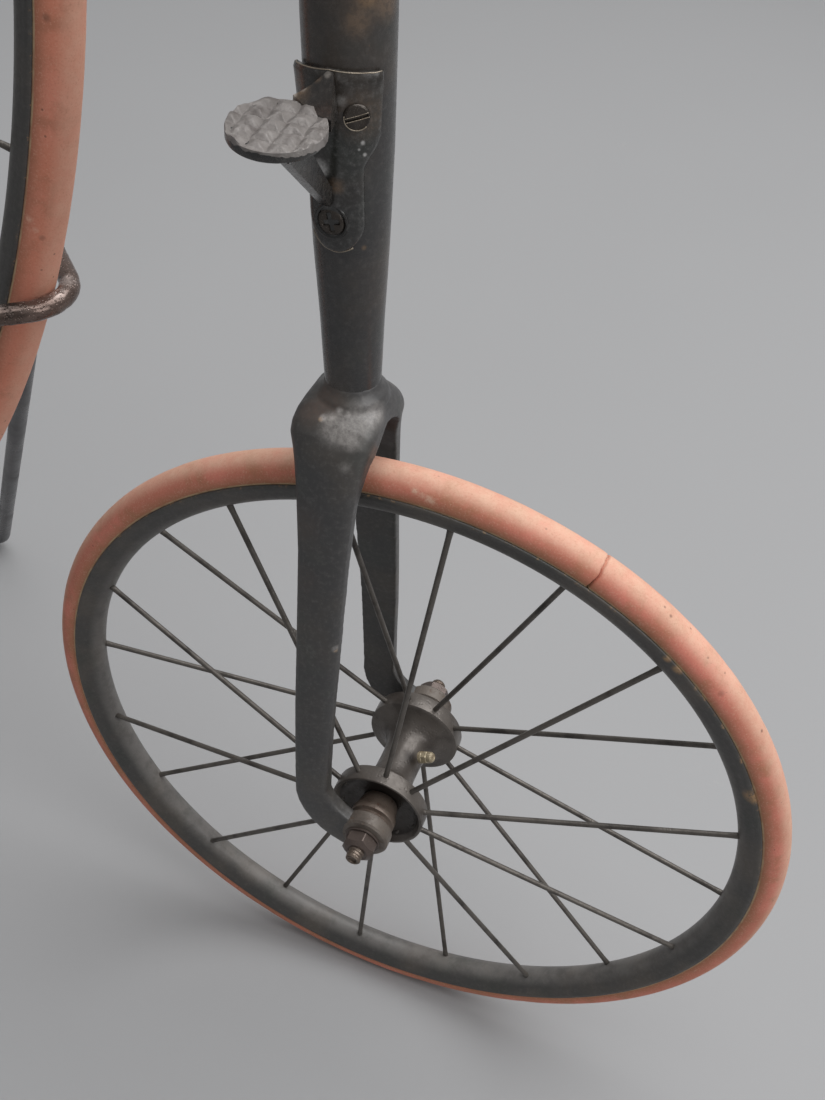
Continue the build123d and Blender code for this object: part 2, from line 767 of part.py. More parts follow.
def saddle_frame():
    """Iron saddle frame on the spring: a rail, a nose block and an arched cantle plate."""
    nose, rail_z = saddle_seat()
    _, front, rear, _, _ = saddle_spring_points()
    rail_length = front[0] - rear[0] - saddle_riser_length
    rail = Pos(front[0] - saddle_riser_length, 0, rail_z) * Box(
        rail_length, saddle_rail_width, saddle_rail_thickness, align=(Align.MAX, Align.CENTER, Align.MIN))
    under = rail_z + saddle_rail_thickness + saddle_height - saddle_leather_gap
    nose_x = front[0] - saddle_riser_length
    frame = rail + Pos(nose_x, 0, rail_z) * Box(
        saddle_riser_length, saddle_rail_width, under + saddle_sections[1][2] - saddle_nose_clearance - rail_z,
        align=(Align.MAX, Align.CENTER, Align.MIN))
    back, half, height, drop = saddle_sections[3]
    inner = half - saddle_leather * saddle_edge_share
    radius = (inner ** 2 + drop ** 2) / (2 * drop)
    spread = saddle_cantle_share * inner
    end = rise(radius, spread)
    under_end = end - saddle_cantle_thickness
    plate = make_face([
        ThreePointArc((-spread, end), (0, 0), (spread, end)),
        Line((spread, end), (spread, under_end)),
        ThreePointArc((spread, under_end), (0, -saddle_cantle_thickness), (-spread, under_end)),
        Line((-spread, under_end), (-spread, end)),
    ])
    plane = Plane(origin=(nose - back - saddle_riser_length, 0, under + height), x_dir=(0, 1, 0), z_dir=(1, 0, 0))
    frame += extrude(plane * plate, saddle_riser_length, dir=(1, 0, 0))
    frame += Pos(nose - back, 0, rail_z) * Box(
        saddle_riser_length, saddle_rail_width,
        under + height - saddle_cantle_thickness - rail_z + saddle_weld_depth,
        align=(Align.MAX, Align.CENTER, Align.MIN))
    return frame


def rise(radius, spread):
    """Drop of an arc's end below its crown, as a negative height."""
    return sqrt(radius ** 2 - spread ** 2) - radius


def tube_radius_at(z):
    """Backbone radius at a height above the rear axle, on its straight run."""
    share = (z - backbone_foot[1]) / (backbone_bend[1] - backbone_foot[1])
    for (low, r_low), (high, r_high) in zip(backbone_taper, backbone_taper[1:]):
        if share <= high:
            return r_low + (r_high - r_low) * (share - low) / (high - low)
    return backbone_radius


def tube_x_at(z):
    """Middle of the backbone at a height above the rear axle, on its straight run."""
    return backbone_foot[0] + (z - backbone_foot[1]) * run_dir[0] / run_dir[1]


def sleeve(z_low, z_high, wall):
    """Solid round the backbone between two heights, with a wall added to the tube's radius."""
    return loft([
        (Plane(origin=(tube_x_at(z), 0, z)) * Circle(tube_radius_at(z) + wall)).face() for z in (z_low, z_high)
    ], ruled=True)


def step_strap():
    """Strap bent round the left side of the backbone, broad above and a rounded tongue below."""
    shoulder, waist = tread_top - strap_shoulder_drop, tread_top - strap_waist_drop
    middle = tube_x_at(waist)
    wide, slim = strap_half_width, tongue_half_width
    sides_and_top = Polyline(
        (middle + slim, lower_screw_z),
        (middle + slim, waist),
        (middle + wide, shoulder),
        (middle + wide, strap_top - strap_corner_drop),
        (middle, strap_top),
        (middle - wide, strap_top),
        (middle - wide, shoulder),
        (middle - slim, waist),
        (middle - slim, lower_screw_z),
    )
    tongue = ThreePointArc(
        (middle - slim, lower_screw_z), (middle, strap_bottom), (middle + slim, lower_screw_z))
    plane = Plane(origin=(0, 0, 0), x_dir=(1, 0, 0), z_dir=(0, -1, 0))
    outline = make_face([*sides_and_top.edges(), tongue])
    plate = extrude(plane * outline, 2 * backbone_radius, dir=(0, 1, 0))
    return sleeve(strap_bottom, strap_top, strap_thickness) & plate


def step_plane(heading):
    """Upright plane through the tube's middle, with x outwards at a heading from straight ahead."""
    turn = radians(heading)
    return Plane(
        origin=(tube_x_at(tread_top), 0, 0),
        x_dir=(cos(turn), sin(turn), 0),
        z_dir=(sin(turn), -cos(turn), 0),
    )


def step_tread():
    """Oval step tread with its flared neck to the strap and the slim brace under it."""
    turn = radians(step_heading)
    x, y = tube_x_at(tread_top) + tread_reach * cos(turn), tread_reach * sin(turn)
    oval = Ellipse(tread_length / 2, tread_width / 2)
    step = Pos(x, y, tread_base) * Rot(0, 0, tread_turn) * extrude(oval, tread_thickness)
    surface = backbone_radius + strap_thickness
    neck_top = strap_top - tread_neck_drop
    neck = make_face(Polyline(
        (0, tread_base),
        (surface + tread_neck_run, tread_base),
        (surface + tread_neck_run, tread_top),
        (surface, neck_top),
        (0, neck_top),
        close=True,
    ))
    foot_top = brace_foot + brace_foot_height
    brace = make_face(Polyline(
        (brace_top_reach, tread_base),
        (brace_top_reach - brace_top_width, tread_base),
        (surface, foot_top),
        (0, foot_top),
        (0, brace_foot),
        (surface, brace_foot),
        close=True,
    ))
    step += extrude(step_plane(step_heading) * neck, tread_neck_width / 2, both=True)
    step += extrude(step_plane(brace_heading) * brace, brace_thickness / 2, both=True)
    return step - sleeve(strap_bottom - strap_thickness, strap_top, strap_thickness / 2)


def step_screws():
    """Two screw heads, still to be seated on the strap."""
    heads = []
    for z, heading in ((tread_top - upper_screw_drop, upper_screw_heading), (lower_screw_z, lower_screw_heading)):
        radius = tube_radius_at(z) + strap_thickness
        place = Pos(tube_x_at(z), 0, z) * Rot(0, 0, heading - 90)
        heads.append(place * cross_bar(step_screw_radius, radius - step_screw_sink, radius + step_screw_height))
    return heads


def stand_bend():
    """Corner at the back of the stand's loop, from where its bend just clears the tyre."""
    reach = front_radius + stand_clearance + stand_rod_radius
    back = front_axle.X - sqrt(reach ** 2 - (stand_loop_height - front_radius) ** 2)
    return Vector(back - stand_loop_bend * (1 / sin(radians(stand_arm_angle)) - 1), 0, stand_loop_height)


def stand_side(side):
    """Corners of one side of the stand: shoulder, foot and front, and the weld below the shoulder."""
    arm_run = stand_shoulder_y / tan(radians(stand_arm_angle))
    shoulder = stand_bend() + Vector(arm_run, side * stand_shoulder_y, 0)
    foot = Vector(shoulder.X + stand_leg_run, side * stand_foot_y, stand_leg_radius)
    front = Vector(foot.X + stand_floor_run, side * stand_front_y, stand_leg_radius)
    return shoulder, foot, front, shoulder + (foot - shoulder) * stand_weld_share


def stand_loop():
    """Upper part of the stand: the bend round the back of the tyre, both arms and their shoulders."""
    left, right = stand_side(1), stand_side(-1)
    points = [right[3], right[0], stand_bend(), left[0], left[3]]
    return bent_rod(points, stand_rod_radius, [stand_shoulder_bend, stand_loop_bend, stand_shoulder_bend])


def stand_rail(side):
    """One leg, bent at its foot to run along the floor and across in front of the wheel."""
    _, foot, front, weld = stand_side(side)
    end = Vector(front.X, 0, front.Z)
    return bent_rod([weld, foot, front, end], stand_leg_radius, [stand_foot_bend, stand_front_bend])


front_tyre, front_rim, front_rim_base = tyre_and_rim(front_radius, front_tyre_radius, front_rim_depth)
rear_tyre, rear_rim, rear_rim_base = tyre_and_rim(rear_radius, rear_tyre_radius, rear_rim_depth)
front_flange_middle = (front_flange_inner + front_flange_outer) / 2
rear_flange_middle = (rear_flange_inner + rear_flange_outer) / 2
front_spokes = spoke_set(front_spoke_count, front_spoke_phase, front_flange_radius,
                         front_flange_middle, front_rim_base + spoke_rim_hold)
rear_spokes = spoke_set(rear_spoke_count, rear_spoke_phase, rear_flange_radius,
                        rear_flange_middle, rear_rim_base + spoke_rim_hold)
axle, cones, nuts = rear_axle_set()
oiler_angle = radians(rear_oiler_angle)
oiler_dir = Vector(cos(oiler_angle), 0, sin(oiler_angle))
oiler_foot = Vector(0, rear_oiler_y, 0) + oiler_dir * (rear_barrel_waist - rear_oiler_sink)
oiler = bar(oiler_foot, oiler_foot + oiler_dir * rear_oiler_length, rear_oiler_radius)
fork = rear_fork()
tube = backbone() - fork
strap = step_strap() - tube
steering_head = head()
shoe = brake_spoon() - steering_head

rear_nodes = {
    "rear_tyre": rear_tyre,
    "rear_rim": rear_rim,
    "rear_spokes": rear_spokes,
    "rear_hub": rear_hub(),
    "rear_oiler": oiler - rear_hub(),
    "rear_axle": axle,
    "rear_cones": cones,
    "rear_nuts": nuts,
    "rear_fork": fork,
    "backbone": tube,
    "neck": neck(),
    "step_strap": strap,
    "step_tread": step_tread() - strap - tube,
    "step_screws": Compound(children=[screw - strap for screw in step_screws()]),
    "saddle_spring": saddle_spring(),
    "saddle_frame": saddle_frame(),
    "saddle_top": saddle_top(),
}
front_nodes = {
    "front_tyre": front_tyre,
    "front_rim": front_rim,
    "front_spokes": front_spokes,
    "front_hub": front_hub(),
}
fork_nodes = {
    "front_fork": front_fork(),
    "head": steering_head,
    "handlebar": handlebar(),
    "brake_spoon": shoe,
    "brake_lever": brake_lever() - shoe - steering_head,
}
floor_nodes = {"stand_loop": stand_loop()}
for name, side in sides:
    front_nodes[f"crank_{name}"] = crank(side)
    front_nodes[f"pedal_pin_{name}"] = pedal_pin(side)
    front_nodes[f"pedal_frame_{name}"] = pedal_frame(side)
    front_nodes[f"pedal_rubbers_{name}"] = pedal_rubbers(side)
    fork_nodes[f"grip_{name}"] = grip(side)
    floor_nodes[f"stand_rail_{name}"] = stand_rail(side)

os.makedirs("parts", exist_ok=True)
for place, nodes in (
    (rear_place, rear_nodes),
    (front_place, front_nodes),
    (fork_plane.location, fork_nodes),
    (Location((0, 0, 0)), floor_nodes),
):
    for node, shape in nodes.items():
        export_step(shape.moved(place), f"parts/{node}.step")
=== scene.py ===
"""Looks of a high wheel bicycle held by its wheel stand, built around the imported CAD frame.

Sizes are in millimetres and are turned into metres when a mesh is made. +X is forward, +Y is the
rider's left and +Z is up. Wheel parts are drawn from their own axle, and the head and front fork
in the fork's frame: u forward, y left, w up the steering axis.
"""
import logging
import math
from dataclasses import dataclass
from enum import Enum
from typing import Callable, Iterable, Sequence

import bmesh
import bpy
from mathutils import Matrix, Vector, noise


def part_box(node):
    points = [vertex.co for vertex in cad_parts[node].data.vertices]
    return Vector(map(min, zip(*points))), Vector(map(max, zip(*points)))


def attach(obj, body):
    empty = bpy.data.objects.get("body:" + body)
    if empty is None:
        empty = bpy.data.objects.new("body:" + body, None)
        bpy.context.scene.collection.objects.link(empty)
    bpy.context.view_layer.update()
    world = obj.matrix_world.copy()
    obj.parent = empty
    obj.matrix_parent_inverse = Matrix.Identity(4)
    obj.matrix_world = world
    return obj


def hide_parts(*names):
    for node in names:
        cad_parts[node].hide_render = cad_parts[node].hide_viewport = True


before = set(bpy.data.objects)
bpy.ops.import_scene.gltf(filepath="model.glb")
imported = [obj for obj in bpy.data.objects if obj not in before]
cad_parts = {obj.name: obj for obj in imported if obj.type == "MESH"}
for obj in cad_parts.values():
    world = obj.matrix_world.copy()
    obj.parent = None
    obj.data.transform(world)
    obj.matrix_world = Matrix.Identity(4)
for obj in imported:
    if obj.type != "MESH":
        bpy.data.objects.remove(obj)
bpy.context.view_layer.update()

LOG = logging.getLogger("bicycle")
MM = 0.001
Point = Sequence[float]
Colour = tuple[float, float, float, float]


def tint(red: int, green: int, blue: int) -> Colour:
    """Linear colour of an 8-bit display colour."""
    def linear(part: int) -> float:
        """Linear share of one display value."""
        share = part / 255
        return share / 12.92 if share <= 0.04045 else ((share + 0.055) / 1.055) ** 2.4
    return linear(red), linear(green), linear(blue), 1.0


class Body(Enum):
    """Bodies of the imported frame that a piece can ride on."""

    FORK = "fork_and_stand"
    FRAME = "frame"
    FRONT_WHEEL = "front_wheel"
    REAR_WHEEL = "rear_wheel"
    PEDAL_LEFT = "pedal_left"
    PEDAL_RIGHT = "pedal_right"


# ---- materials


class NodeBench:
    """One procedural material and short ways to wire it."""

    def __init__(self, name: str) -> None:
        """Start an empty material.

        Args:
            name: Name of the material.
        """
        self.material = bpy.data.materials.new(name)
        self.material.use_nodes = True
        self.tree = self.material.node_tree
        self.tree.nodes.clear()
        self.shader = self.tree.nodes.new("ShaderNodeBsdfPrincipled")
        output = self.tree.nodes.new("ShaderNodeOutputMaterial")
        self.tree.links.new(self.shader.outputs[0], output.inputs[0])
        self.place = self.tree.nodes.new("ShaderNodeTexCoord").outputs["Object"]

    def join(self, source: object, target: object) -> None:
        """Wire a socket, or set a plain value on the target."""
        if isinstance(source, bpy.types.NodeSocket):
            self.tree.links.new(source, target)
        else:
            target.default_value = source

    def node(self, kind: str, wires: dict[str | int, object], **settings: str) -> bpy.types.Node:
        """Add a node.

        Args:
            kind: Blender's word for the node, without its prefix.
            wires: A socket or a plain value for each input, by name or place.
            settings: Values of the node's own settings.

        Returns:
            The node.
        """
        node = self.tree.nodes.new(f"ShaderNode{kind}")
        for key, value in settings.items():
            setattr(node, key, value)
        for key, source in wires.items():
            self.join(source, node.inputs[key])
        return node

    def stretched(self, scale: Point) -> object:
        """The object's coordinates stretched along each axis."""
        return self.node("Mapping", {"Scale": scale, "Vector": self.place}).outputs[0]

    def cloud(self, size: float, detail: float = 4.0, rough: float = 0.55, place: object = None,
              twist: float = 0.0) -> object:
        """Noise whose blotches are about the given size.

        Args:
            size: Size of one blotch.
            detail: Number of finer layers.
            rough: Strength of the finer layers.
            place: Coordinates, or the object's if none are given.
            twist: Distortion of the pattern.

        Returns:
            The noise value's socket.
        """
        wires = {"Scale": 1 / (size * MM), "Detail": detail, "Roughness": rough, "Distortion": twist,
                 "Vector": place or self.place}
        return self.node("TexNoise", wires).outputs["Fac"]

    def cells(self, size: float) -> object:
        """Distance to the nearest of scattered points, for pits and specks."""
        return self.node("TexVoronoi", {"Scale": 1 / (size * MM), "Vector": self.place}).outputs["Distance"]

    def span(self, value: object, low: float, high: float, start: float = 0.0, end: float = 1.0) -> object:
        """Carry a value from one range onto another, eased and held at both ends.

        Args:
            value: The value's socket.
            low: Value that gives the start.
            high: Value that gives the end.
            start: First result.
            end: Last result.

        Returns:
            The result's socket.
        """
        wires = {"Value": value, "From Min": low, "From Max": high, "To Min": start, "To Max": end}
        return self.node("MapRange", wires, interpolation_type="SMOOTHSTEP").outputs["Result"]

    def sum(self, word: str, first: object, second: object = 0.0) -> object:
        """One step of arithmetic, named by Blender's word for it."""
        return self.node("Math", {0: first, 1: second}, operation=word).outputs[0]

    def lay(self, share: object, under: object, over: object) -> object:
        """One colour over another, by the share of the upper one that shows."""
        return self.node("Mix", {0: share, 6: under, 7: over}, data_type="RGBA").outputs[2]

    def near(self, spot: Point, radius: float, soft: float = 0.6) -> object:
        """Share that is 1 at a spot and falls to 0 at a radius.

        Args:
            spot: Place in the row.
            radius: Reach in millimetres.
            soft: Share of the reach over which it falls.

        Returns:
            The share's socket.
        """
        wires = {0: self.place, 1: [part * MM for part in spot]}
        distance = self.node("VectorMath", wires, operation="DISTANCE").outputs["Value"]
        return self.span(distance, radius * MM * (1 - soft), radius * MM, 1.0, 0.0)

    def reach(self, centre: Point) -> tuple[object, object]:
        """Distance from a wheel's axle, and distance from its middle plane, in metres.

        Args:
            centre: A point on the axle.

        Returns:
            Sockets of both distances.
        """
        parts = self.node("SeparateXYZ", {0: self.place})
        across = [
            self.sum("POWER", self.sum("SUBTRACT", parts.outputs[axis], centre[axis] * MM), 2.0) for axis in (0, 2)]
        radius = self.sum("SQRT", self.sum("ADD", across[0], across[1]))
        return radius, self.sum("ABSOLUTE", parts.outputs[1])

    def relief(self, height: object, depth: float, strength: float = 1.0, below: object = None) -> object:
        """Bump from a height value, over an earlier one if given.

        Args:
            height: The height's socket.
            depth: Depth in millimetres.
            strength: Share of the depth that shows.
            below: An earlier bump.

        Returns:
            The normal's socket.
        """
        wires = {"Strength": strength, "Distance": depth * MM, "Height": height}
        if below is not None:
            wires["Normal"] = below
        return self.node("Bump", wires).outputs[0]

    def finished(self, colour: object, rough: object, metal: float = 0.0, bump: object = None,
                 **steady: float) -> bpy.types.Material:
        """Wire the shader.

        Args:
            colour: Base colour.
            rough: Roughness.
            metal: Metallic share.
            bump: Normal from relief().
            steady: Other values of the shader, with _ for spaces in their names.

        Returns:
            The finished material.
        """
        inputs = self.shader.inputs
        self.join(colour, inputs["Base Color"])
        self.join(rough, inputs["Roughness"])
        inputs["Metallic"].default_value = metal
        for key, number in steady.items():
            inputs[key.replace("_", " ")].default_value = number
        if bump is not None:
            self.join(bump, inputs["Normal"])
        return self.material


@dataclass(frozen=True)
class Mark:
    """A worn or dirty place, or a painted highlight or painted shade: where it is in the row, how far it reaches in
    millimetres, how strong it is.
    """

    spot: tuple[float, float, float]
    radius: float
    strength: float = 1.0

    def share(self, bench: NodeBench, grain: object = 1.0) -> object:
        """Share of the mark that shows, broken up by a grain."""
        inside = bench.near(self.spot, self.radius, 0.85)
        return bench.sum("MULTIPLY", bench.sum("MULTIPLY", inside, self.strength), grain)


@dataclass(frozen=True)
class AgedRubber:
    """Old red rubber of a solid tyre: beige on the tread, browner beside the rim, specked and pitted."""

    name: str
    centre: tuple[float, float, float]
    ring: float
    section: float
    junction: float
    base: Colour = tint(190, 118, 98)
    rosy: Colour = tint(208, 126, 109)
    beige: Colour = tint(204, 168, 146)
    brown: Colour = tint(158, 112, 82)
    grime: Colour = tint(92, 68, 56)
    glue: Colour = tint(196, 170, 136)
    pits: tuple[Mark, ...] = ()
    scrapes: tuple[Mark, ...] = ()

    def make(self) -> bpy.types.Material:
        """Build the material.

        Returns:
            The material.
        """
        bench = NodeBench(self.name)
        radius, _ = bench.reach(self.centre)
        tread = bench.span(radius, (self.ring + 0.4 * self.section) * MM, (self.ring + 1.0 * self.section) * MM)
        colour = bench.lay(bench.span(bench.cloud(30, 3, 0.5), 0.36, 0.66), self.base, self.rosy)
        colour = bench.lay(bench.span(bench.cloud(12, 5, 0.6), 0.46, 0.72, 0.0, 0.6), colour, self.brown)
        veil = bench.span(bench.cloud(7, 7, 0.7), 0.25, 0.75, 0.45, 0.9)
        colour = bench.lay(bench.sum("MULTIPLY", tread, veil), colour, self.beige)
        low = bench.span(radius, self.junction * MM, (self.junction + 0.75 * self.section) * MM, 0.75, 0.0)
        colour = bench.lay(low, colour, self.brown)
        grain = bench.cloud(0.9, 4, 0.7)
        colour = bench.lay(bench.span(grain, 0.52, 0.7, 0.0, 0.5), colour, self.beige)
        colour = bench.lay(bench.span(grain, 0.32, 0.46, 0.35, 0.0), colour, self.brown)
        holes = bench.sum(
            "MULTIPLY", bench.span(bench.cells(6.0), 0.06, 0.11, 0.6, 0.0),
            bench.span(bench.cloud(30, 2), 0.48, 0.56))
        for pit in self.pits:
            holes = bench.sum("MAXIMUM", holes, pit.share(bench))
        colour = bench.lay(holes, colour, self.grime)
        for scrape in self.scrapes:
            colour = bench.lay(scrape.share(bench, bench.span(grain, 0.35, 0.6, 0.3, 1.0)), colour, self.beige)
        edge = bench.span(radius, (self.junction + 0.5) * MM, (self.junction + 1.3) * MM, 1.0, 0.0)
        edge = bench.sum("MULTIPLY", edge, bench.span(bench.cloud(9, 4), 0.36, 0.6, 0.35, 1.0))
        colour = bench.lay(edge, colour, self.glue)
        bump = bench.relief(grain, 0.08, 0.5)
        bump = bench.relief(bench.sum("SUBTRACT", bench.cloud(7, 5, 0.6), holes), 0.3, 0.6, bump)
        rough = bench.span(veil, 0.3, 1.0, 0.6, 0.8)
        return bench.finished(colour, rough, bump=bump, Specular_IOR_Level=0.3)


@dataclass(frozen=True)
class WornEnamel:
    """Old black enamel: faint brown and green tinges, fibrous rubbed places, chips down to an ochre coat, and
    painted highlights laid on in the rubbed and brown colours where a finish lists them.
    """

    name: str
    base: Colour = tint(42, 41, 41)
    warm: Colour = tint(60, 53, 47)
    green: Colour = tint(50, 53, 49)
    chip: Colour = tint(150, 118, 82)
    rubbed: Colour = tint(150, 145, 141)
    brown: Colour = tint(112, 92, 74)
    chips: float = 0.4
    gloss: float = 0.3
    rubs_and_highlights: tuple[Mark, ...] = ()
    stains_and_highlights: tuple[Mark, ...] = ()
    flakes: tuple[Mark, ...] = ()
    ring: tuple[tuple[float, float, float], float] | None = None

    def make(self) -> bpy.types.Material:
        """Build the material.

        Returns:
            The material.
        """
        bench = NodeBench(self.name)
        broad = bench.cloud(34, 4, 0.5)
        fine = bench.cloud(2.2, 8, 0.78, twist=0.12)
        colour = bench.lay(bench.span(broad, 0.42, 0.7), self.base, self.warm)
        colour = bench.lay(bench.span(bench.cloud(24, 3), 0.5, 0.72, 0.0, 0.6), colour, self.green)
        mottle = bench.span(bench.cloud(2.4, 6, 0.8), 0.45, 0.8, 0.0, 0.14)
        colour = bench.lay(mottle, colour, self.rubbed)
        specks = bench.sum("MULTIPLY", bench.span(bench.cloud(0.9, 4, 0.7), 0.68, 0.74), 0.14)
        colour = bench.lay(specks, colour, self.rubbed)
        # Brown stains, and on the bracket a painted highlight in brown.
        for stain in self.stains_and_highlights:
            colour = bench.lay(stain.share(bench, bench.span(fine, 0.34, 0.62, 0.3, 1.0)), colour, self.brown)
        chips = bench.sum(
            "MULTIPLY", bench.span(bench.cloud(2.6, 6, 0.75), 0.68, 0.71),
            bench.span(bench.cloud(30, 3), 0.52, 0.6))
        chips = bench.sum("MULTIPLY", chips, self.chips)
        if self.ring is not None:
            radius, _ = bench.reach(self.ring[0])
            rim = bench.span(radius, (self.ring[1] - 1.6) * MM, (self.ring[1] + 0.2) * MM)
            flakes = bench.sum("MULTIPLY", rim, bench.span(bench.cloud(4.5, 6, 0.72), 0.56, 0.66, 0.0, 0.8))
            chips = bench.sum("MAXIMUM", chips, flakes)
            dusty = bench.span(radius, (self.ring[1] - 13) * MM, (self.ring[1] - 7) * MM, 0.3, 0.0)
            dusty = bench.sum("MULTIPLY", dusty, bench.span(bench.cloud(14, 6, 0.7), 0.3, 0.6, 0.4, 1.0))
            colour = bench.lay(dusty, colour, self.rubbed)
        for flake in self.flakes:
            chips = bench.sum("MAXIMUM", chips, flake.share(bench, bench.span(fine, 0.36, 0.5)))
        colour = bench.lay(chips, colour, self.chip)
        rough = bench.span(fine, 0.3, 0.7, self.gloss - 0.05, self.gloss + 0.12)
        # Rubbed places in the rubbed colour; on the fork crown, strap and bracket most of them are painted
        # highlights and glints.
        for bright_patch in self.rubs_and_highlights:
            worn = bright_patch.share(bench, bench.span(fine, 0.3, 0.72, 0.25, 1.0))
            colour = bench.lay(worn, colour, self.rubbed)
        bump = bench.relief(fine, 0.08, 0.4)
        bump = bench.relief(bench.sum("SUBTRACT", broad, bench.sum("MULTIPLY", chips, 0.15)), 0.7, 0.2, bump)
        return bench.finished(colour, rough, bump=bump, Specular_IOR_Level=0.55)


@dataclass(frozen=True)
class OldSteel:
    """Bare or once plated steel, with brown grease and rust in blotches, painted glints in the pale colour and
    painted shade in the soot colour where a finish lists them.
    """

    name: str
    steel: Colour = tint(120, 112, 104)
    stain: Colour = tint(74, 62, 53)
    rust: Colour = tint(112, 72, 48)
    pale: Colour = tint(170, 160, 150)
    soot_and_shade: Colour = tint(34, 28, 24)
    rusted: float = 0.4
    stained: float = 0.6
    rough: float = 0.45
    metal: float = 0.75
    grain: float = 5.0
    pitted: float = 0.1
    lights: tuple[Mark, ...] = ()
    darks: tuple[Mark, ...] = ()
    shaded_dish: tuple[tuple[float, float, float], float, float] | None = None

    def make(self) -> bpy.types.Material:
        """Build the material.

        Returns:
            The material.
        """
        bench = NodeBench(self.name)
        broad = bench.cloud(self.grain * 4, 5, 0.6)
        fine = bench.cloud(self.grain, 7, 0.7)
        colour = bench.lay(bench.span(broad, 0.62 - 0.3 * self.stained, 0.72, 0.0, 1.0), self.steel, self.stain)
        rust = bench.span(fine, 0.7 - 0.2 * self.rusted, 0.74 - 0.12 * self.rusted)
        colour = bench.lay(bench.sum("MULTIPLY", rust, min(1.0, self.rusted * 1.6)), colour, self.rust)
        light = bench.span(bench.cloud(self.grain * 0.5, 5, 0.7), 0.6, 0.74, 0.0, 0.5)
        colour = bench.lay(light, colour, self.pale)
        # Painted glints in the pale colour.
        for mark in self.lights:
            colour = bench.lay(mark.share(bench, bench.span(fine, 0.35, 0.62, 0.2, 1.0)), colour, self.pale)
        # Dark marks in the soot colour; on the rear hub one of them is painted shade.
        for mark in self.darks:
            colour = bench.lay(mark.share(bench), colour, self.soot_and_shade)
        # Painted shade inside the outer dishes of the hub's flanges.
        if self.shaded_dish is not None:
            radius, along = bench.reach(self.shaded_dish[0])
            inside = bench.span(radius, (self.shaded_dish[1] - 0.8) * MM, self.shaded_dish[1] * MM, 0.8, 0.0)
            beyond = bench.span(along, self.shaded_dish[2] * MM, (self.shaded_dish[2] + 1.0) * MM)
            colour = bench.lay(bench.sum("MULTIPLY", inside, beyond), colour, self.soot_and_shade)
        pits = bench.span(bench.cells(self.grain * 0.45), 0.1, 0.4)
        bump = bench.relief(pits, self.pitted, 0.8)
        bump = bench.relief(fine, 0.12, 0.5, bump)
        roughness = bench.span(
            bench.sum("ADD", fine, bench.sum("MULTIPLY", rust, 0.3)), 0.35, 0.9, self.rough - 0.1,
            self.rough + 0.28)
        return bench.finished(colour, roughness, self.metal, bump)


@dataclass(frozen=True)
class Leather:
    """Dark saddle leather with fine grain, creases and rubbed high places."""

    name: str
    base: Colour = tint(86, 50, 32)
    dark: Colour = tint(48, 29, 20)
    rubbed: Colour = tint(132, 84, 54)

    def make(self) -> bpy.types.Material:
        """Build the material.

        Returns:
            The material.
        """
        bench = NodeBench(self.name)
        broad = bench.cloud(45, 4, 0.55)
        grain = bench.cells(1.5)
        crease = bench.cloud(9, 6, 0.7, bench.stretched((0.5, 1.6, 1)), 0.6)
        colour = bench.lay(bench.span(broad, 0.36, 0.66), self.base, self.dark)
        colour = bench.lay(bench.span(bench.cloud(17, 5), 0.54, 0.76, 0.0, 0.7), colour, self.rubbed)
        colour = bench.lay(bench.span(crease, 0.6, 0.66, 0.0, 0.5), colour, self.dark)
        bump = bench.relief(grain, 0.16, 0.5)
        bump = bench.relief(bench.span(crease, 0.56, 0.68, 1.0, 0.0), 0.4, 0.6, bump)
        return bench.finished(colour, bench.span(broad, 0.3, 0.7, 0.38, 0.58), bump=bump)


@dataclass(frozen=True)
class TurnedWood:
    """Dark turned hardwood with grain along a grip."""

    name: str
    base: Colour = tint(74, 44, 27)
    vein: Colour = tint(34, 20, 13)

    def make(self) -> bpy.types.Material:
        """Build the material.

        Returns:
            The material.
        """
        bench = NodeBench(self.name)
        vein = bench.cloud(3, 6, 0.65, bench.stretched((1.0, 0.12, 1.0)), 0.5)
        colour = bench.lay(bench.span(vein, 0.42, 0.62), self.base, self.vein)
        colour = bench.lay(bench.span(bench.cloud(20, 3), 0.45, 0.7, 0.0, 0.5), colour, tint(104, 66, 42))
        return bench.finished(colour, bench.span(vein, 0.3, 0.7, 0.3, 0.46), bump=bench.relief(vein, 0.1, 0.4))


@dataclass(frozen=True)
class StudioPaper:
    """Plain pale grey floor with faint dusty scuffs."""

    name: str
    base: Colour = tint(147, 147, 148)
    scuff: Colour = tint(157, 156, 154)

    def make(self) -> bpy.types.Material:
        """Build the material.

        Returns:
            The material.
        """
        bench = NodeBench(self.name)
        colour = bench.lay(bench.span(bench.cloud(900, 3), 0.3, 0.7, 0.0, 0.25), self.base, tint(140, 140, 141))
        scuffs = bench.sum(
            "MULTIPLY", bench.span(bench.cloud(26, 7, 0.75, twist=1.2), 0.6, 0.72),
            bench.span(bench.cloud(180, 2), 0.55, 0.68))
        colour = bench.lay(bench.sum("MULTIPLY", scuffs, 0.35), colour, self.scuff)
        return bench.finished(colour, 0.85, bump=bench.relief(bench.cloud(2, 4), 0.05, 0.3))


# ---- meshes


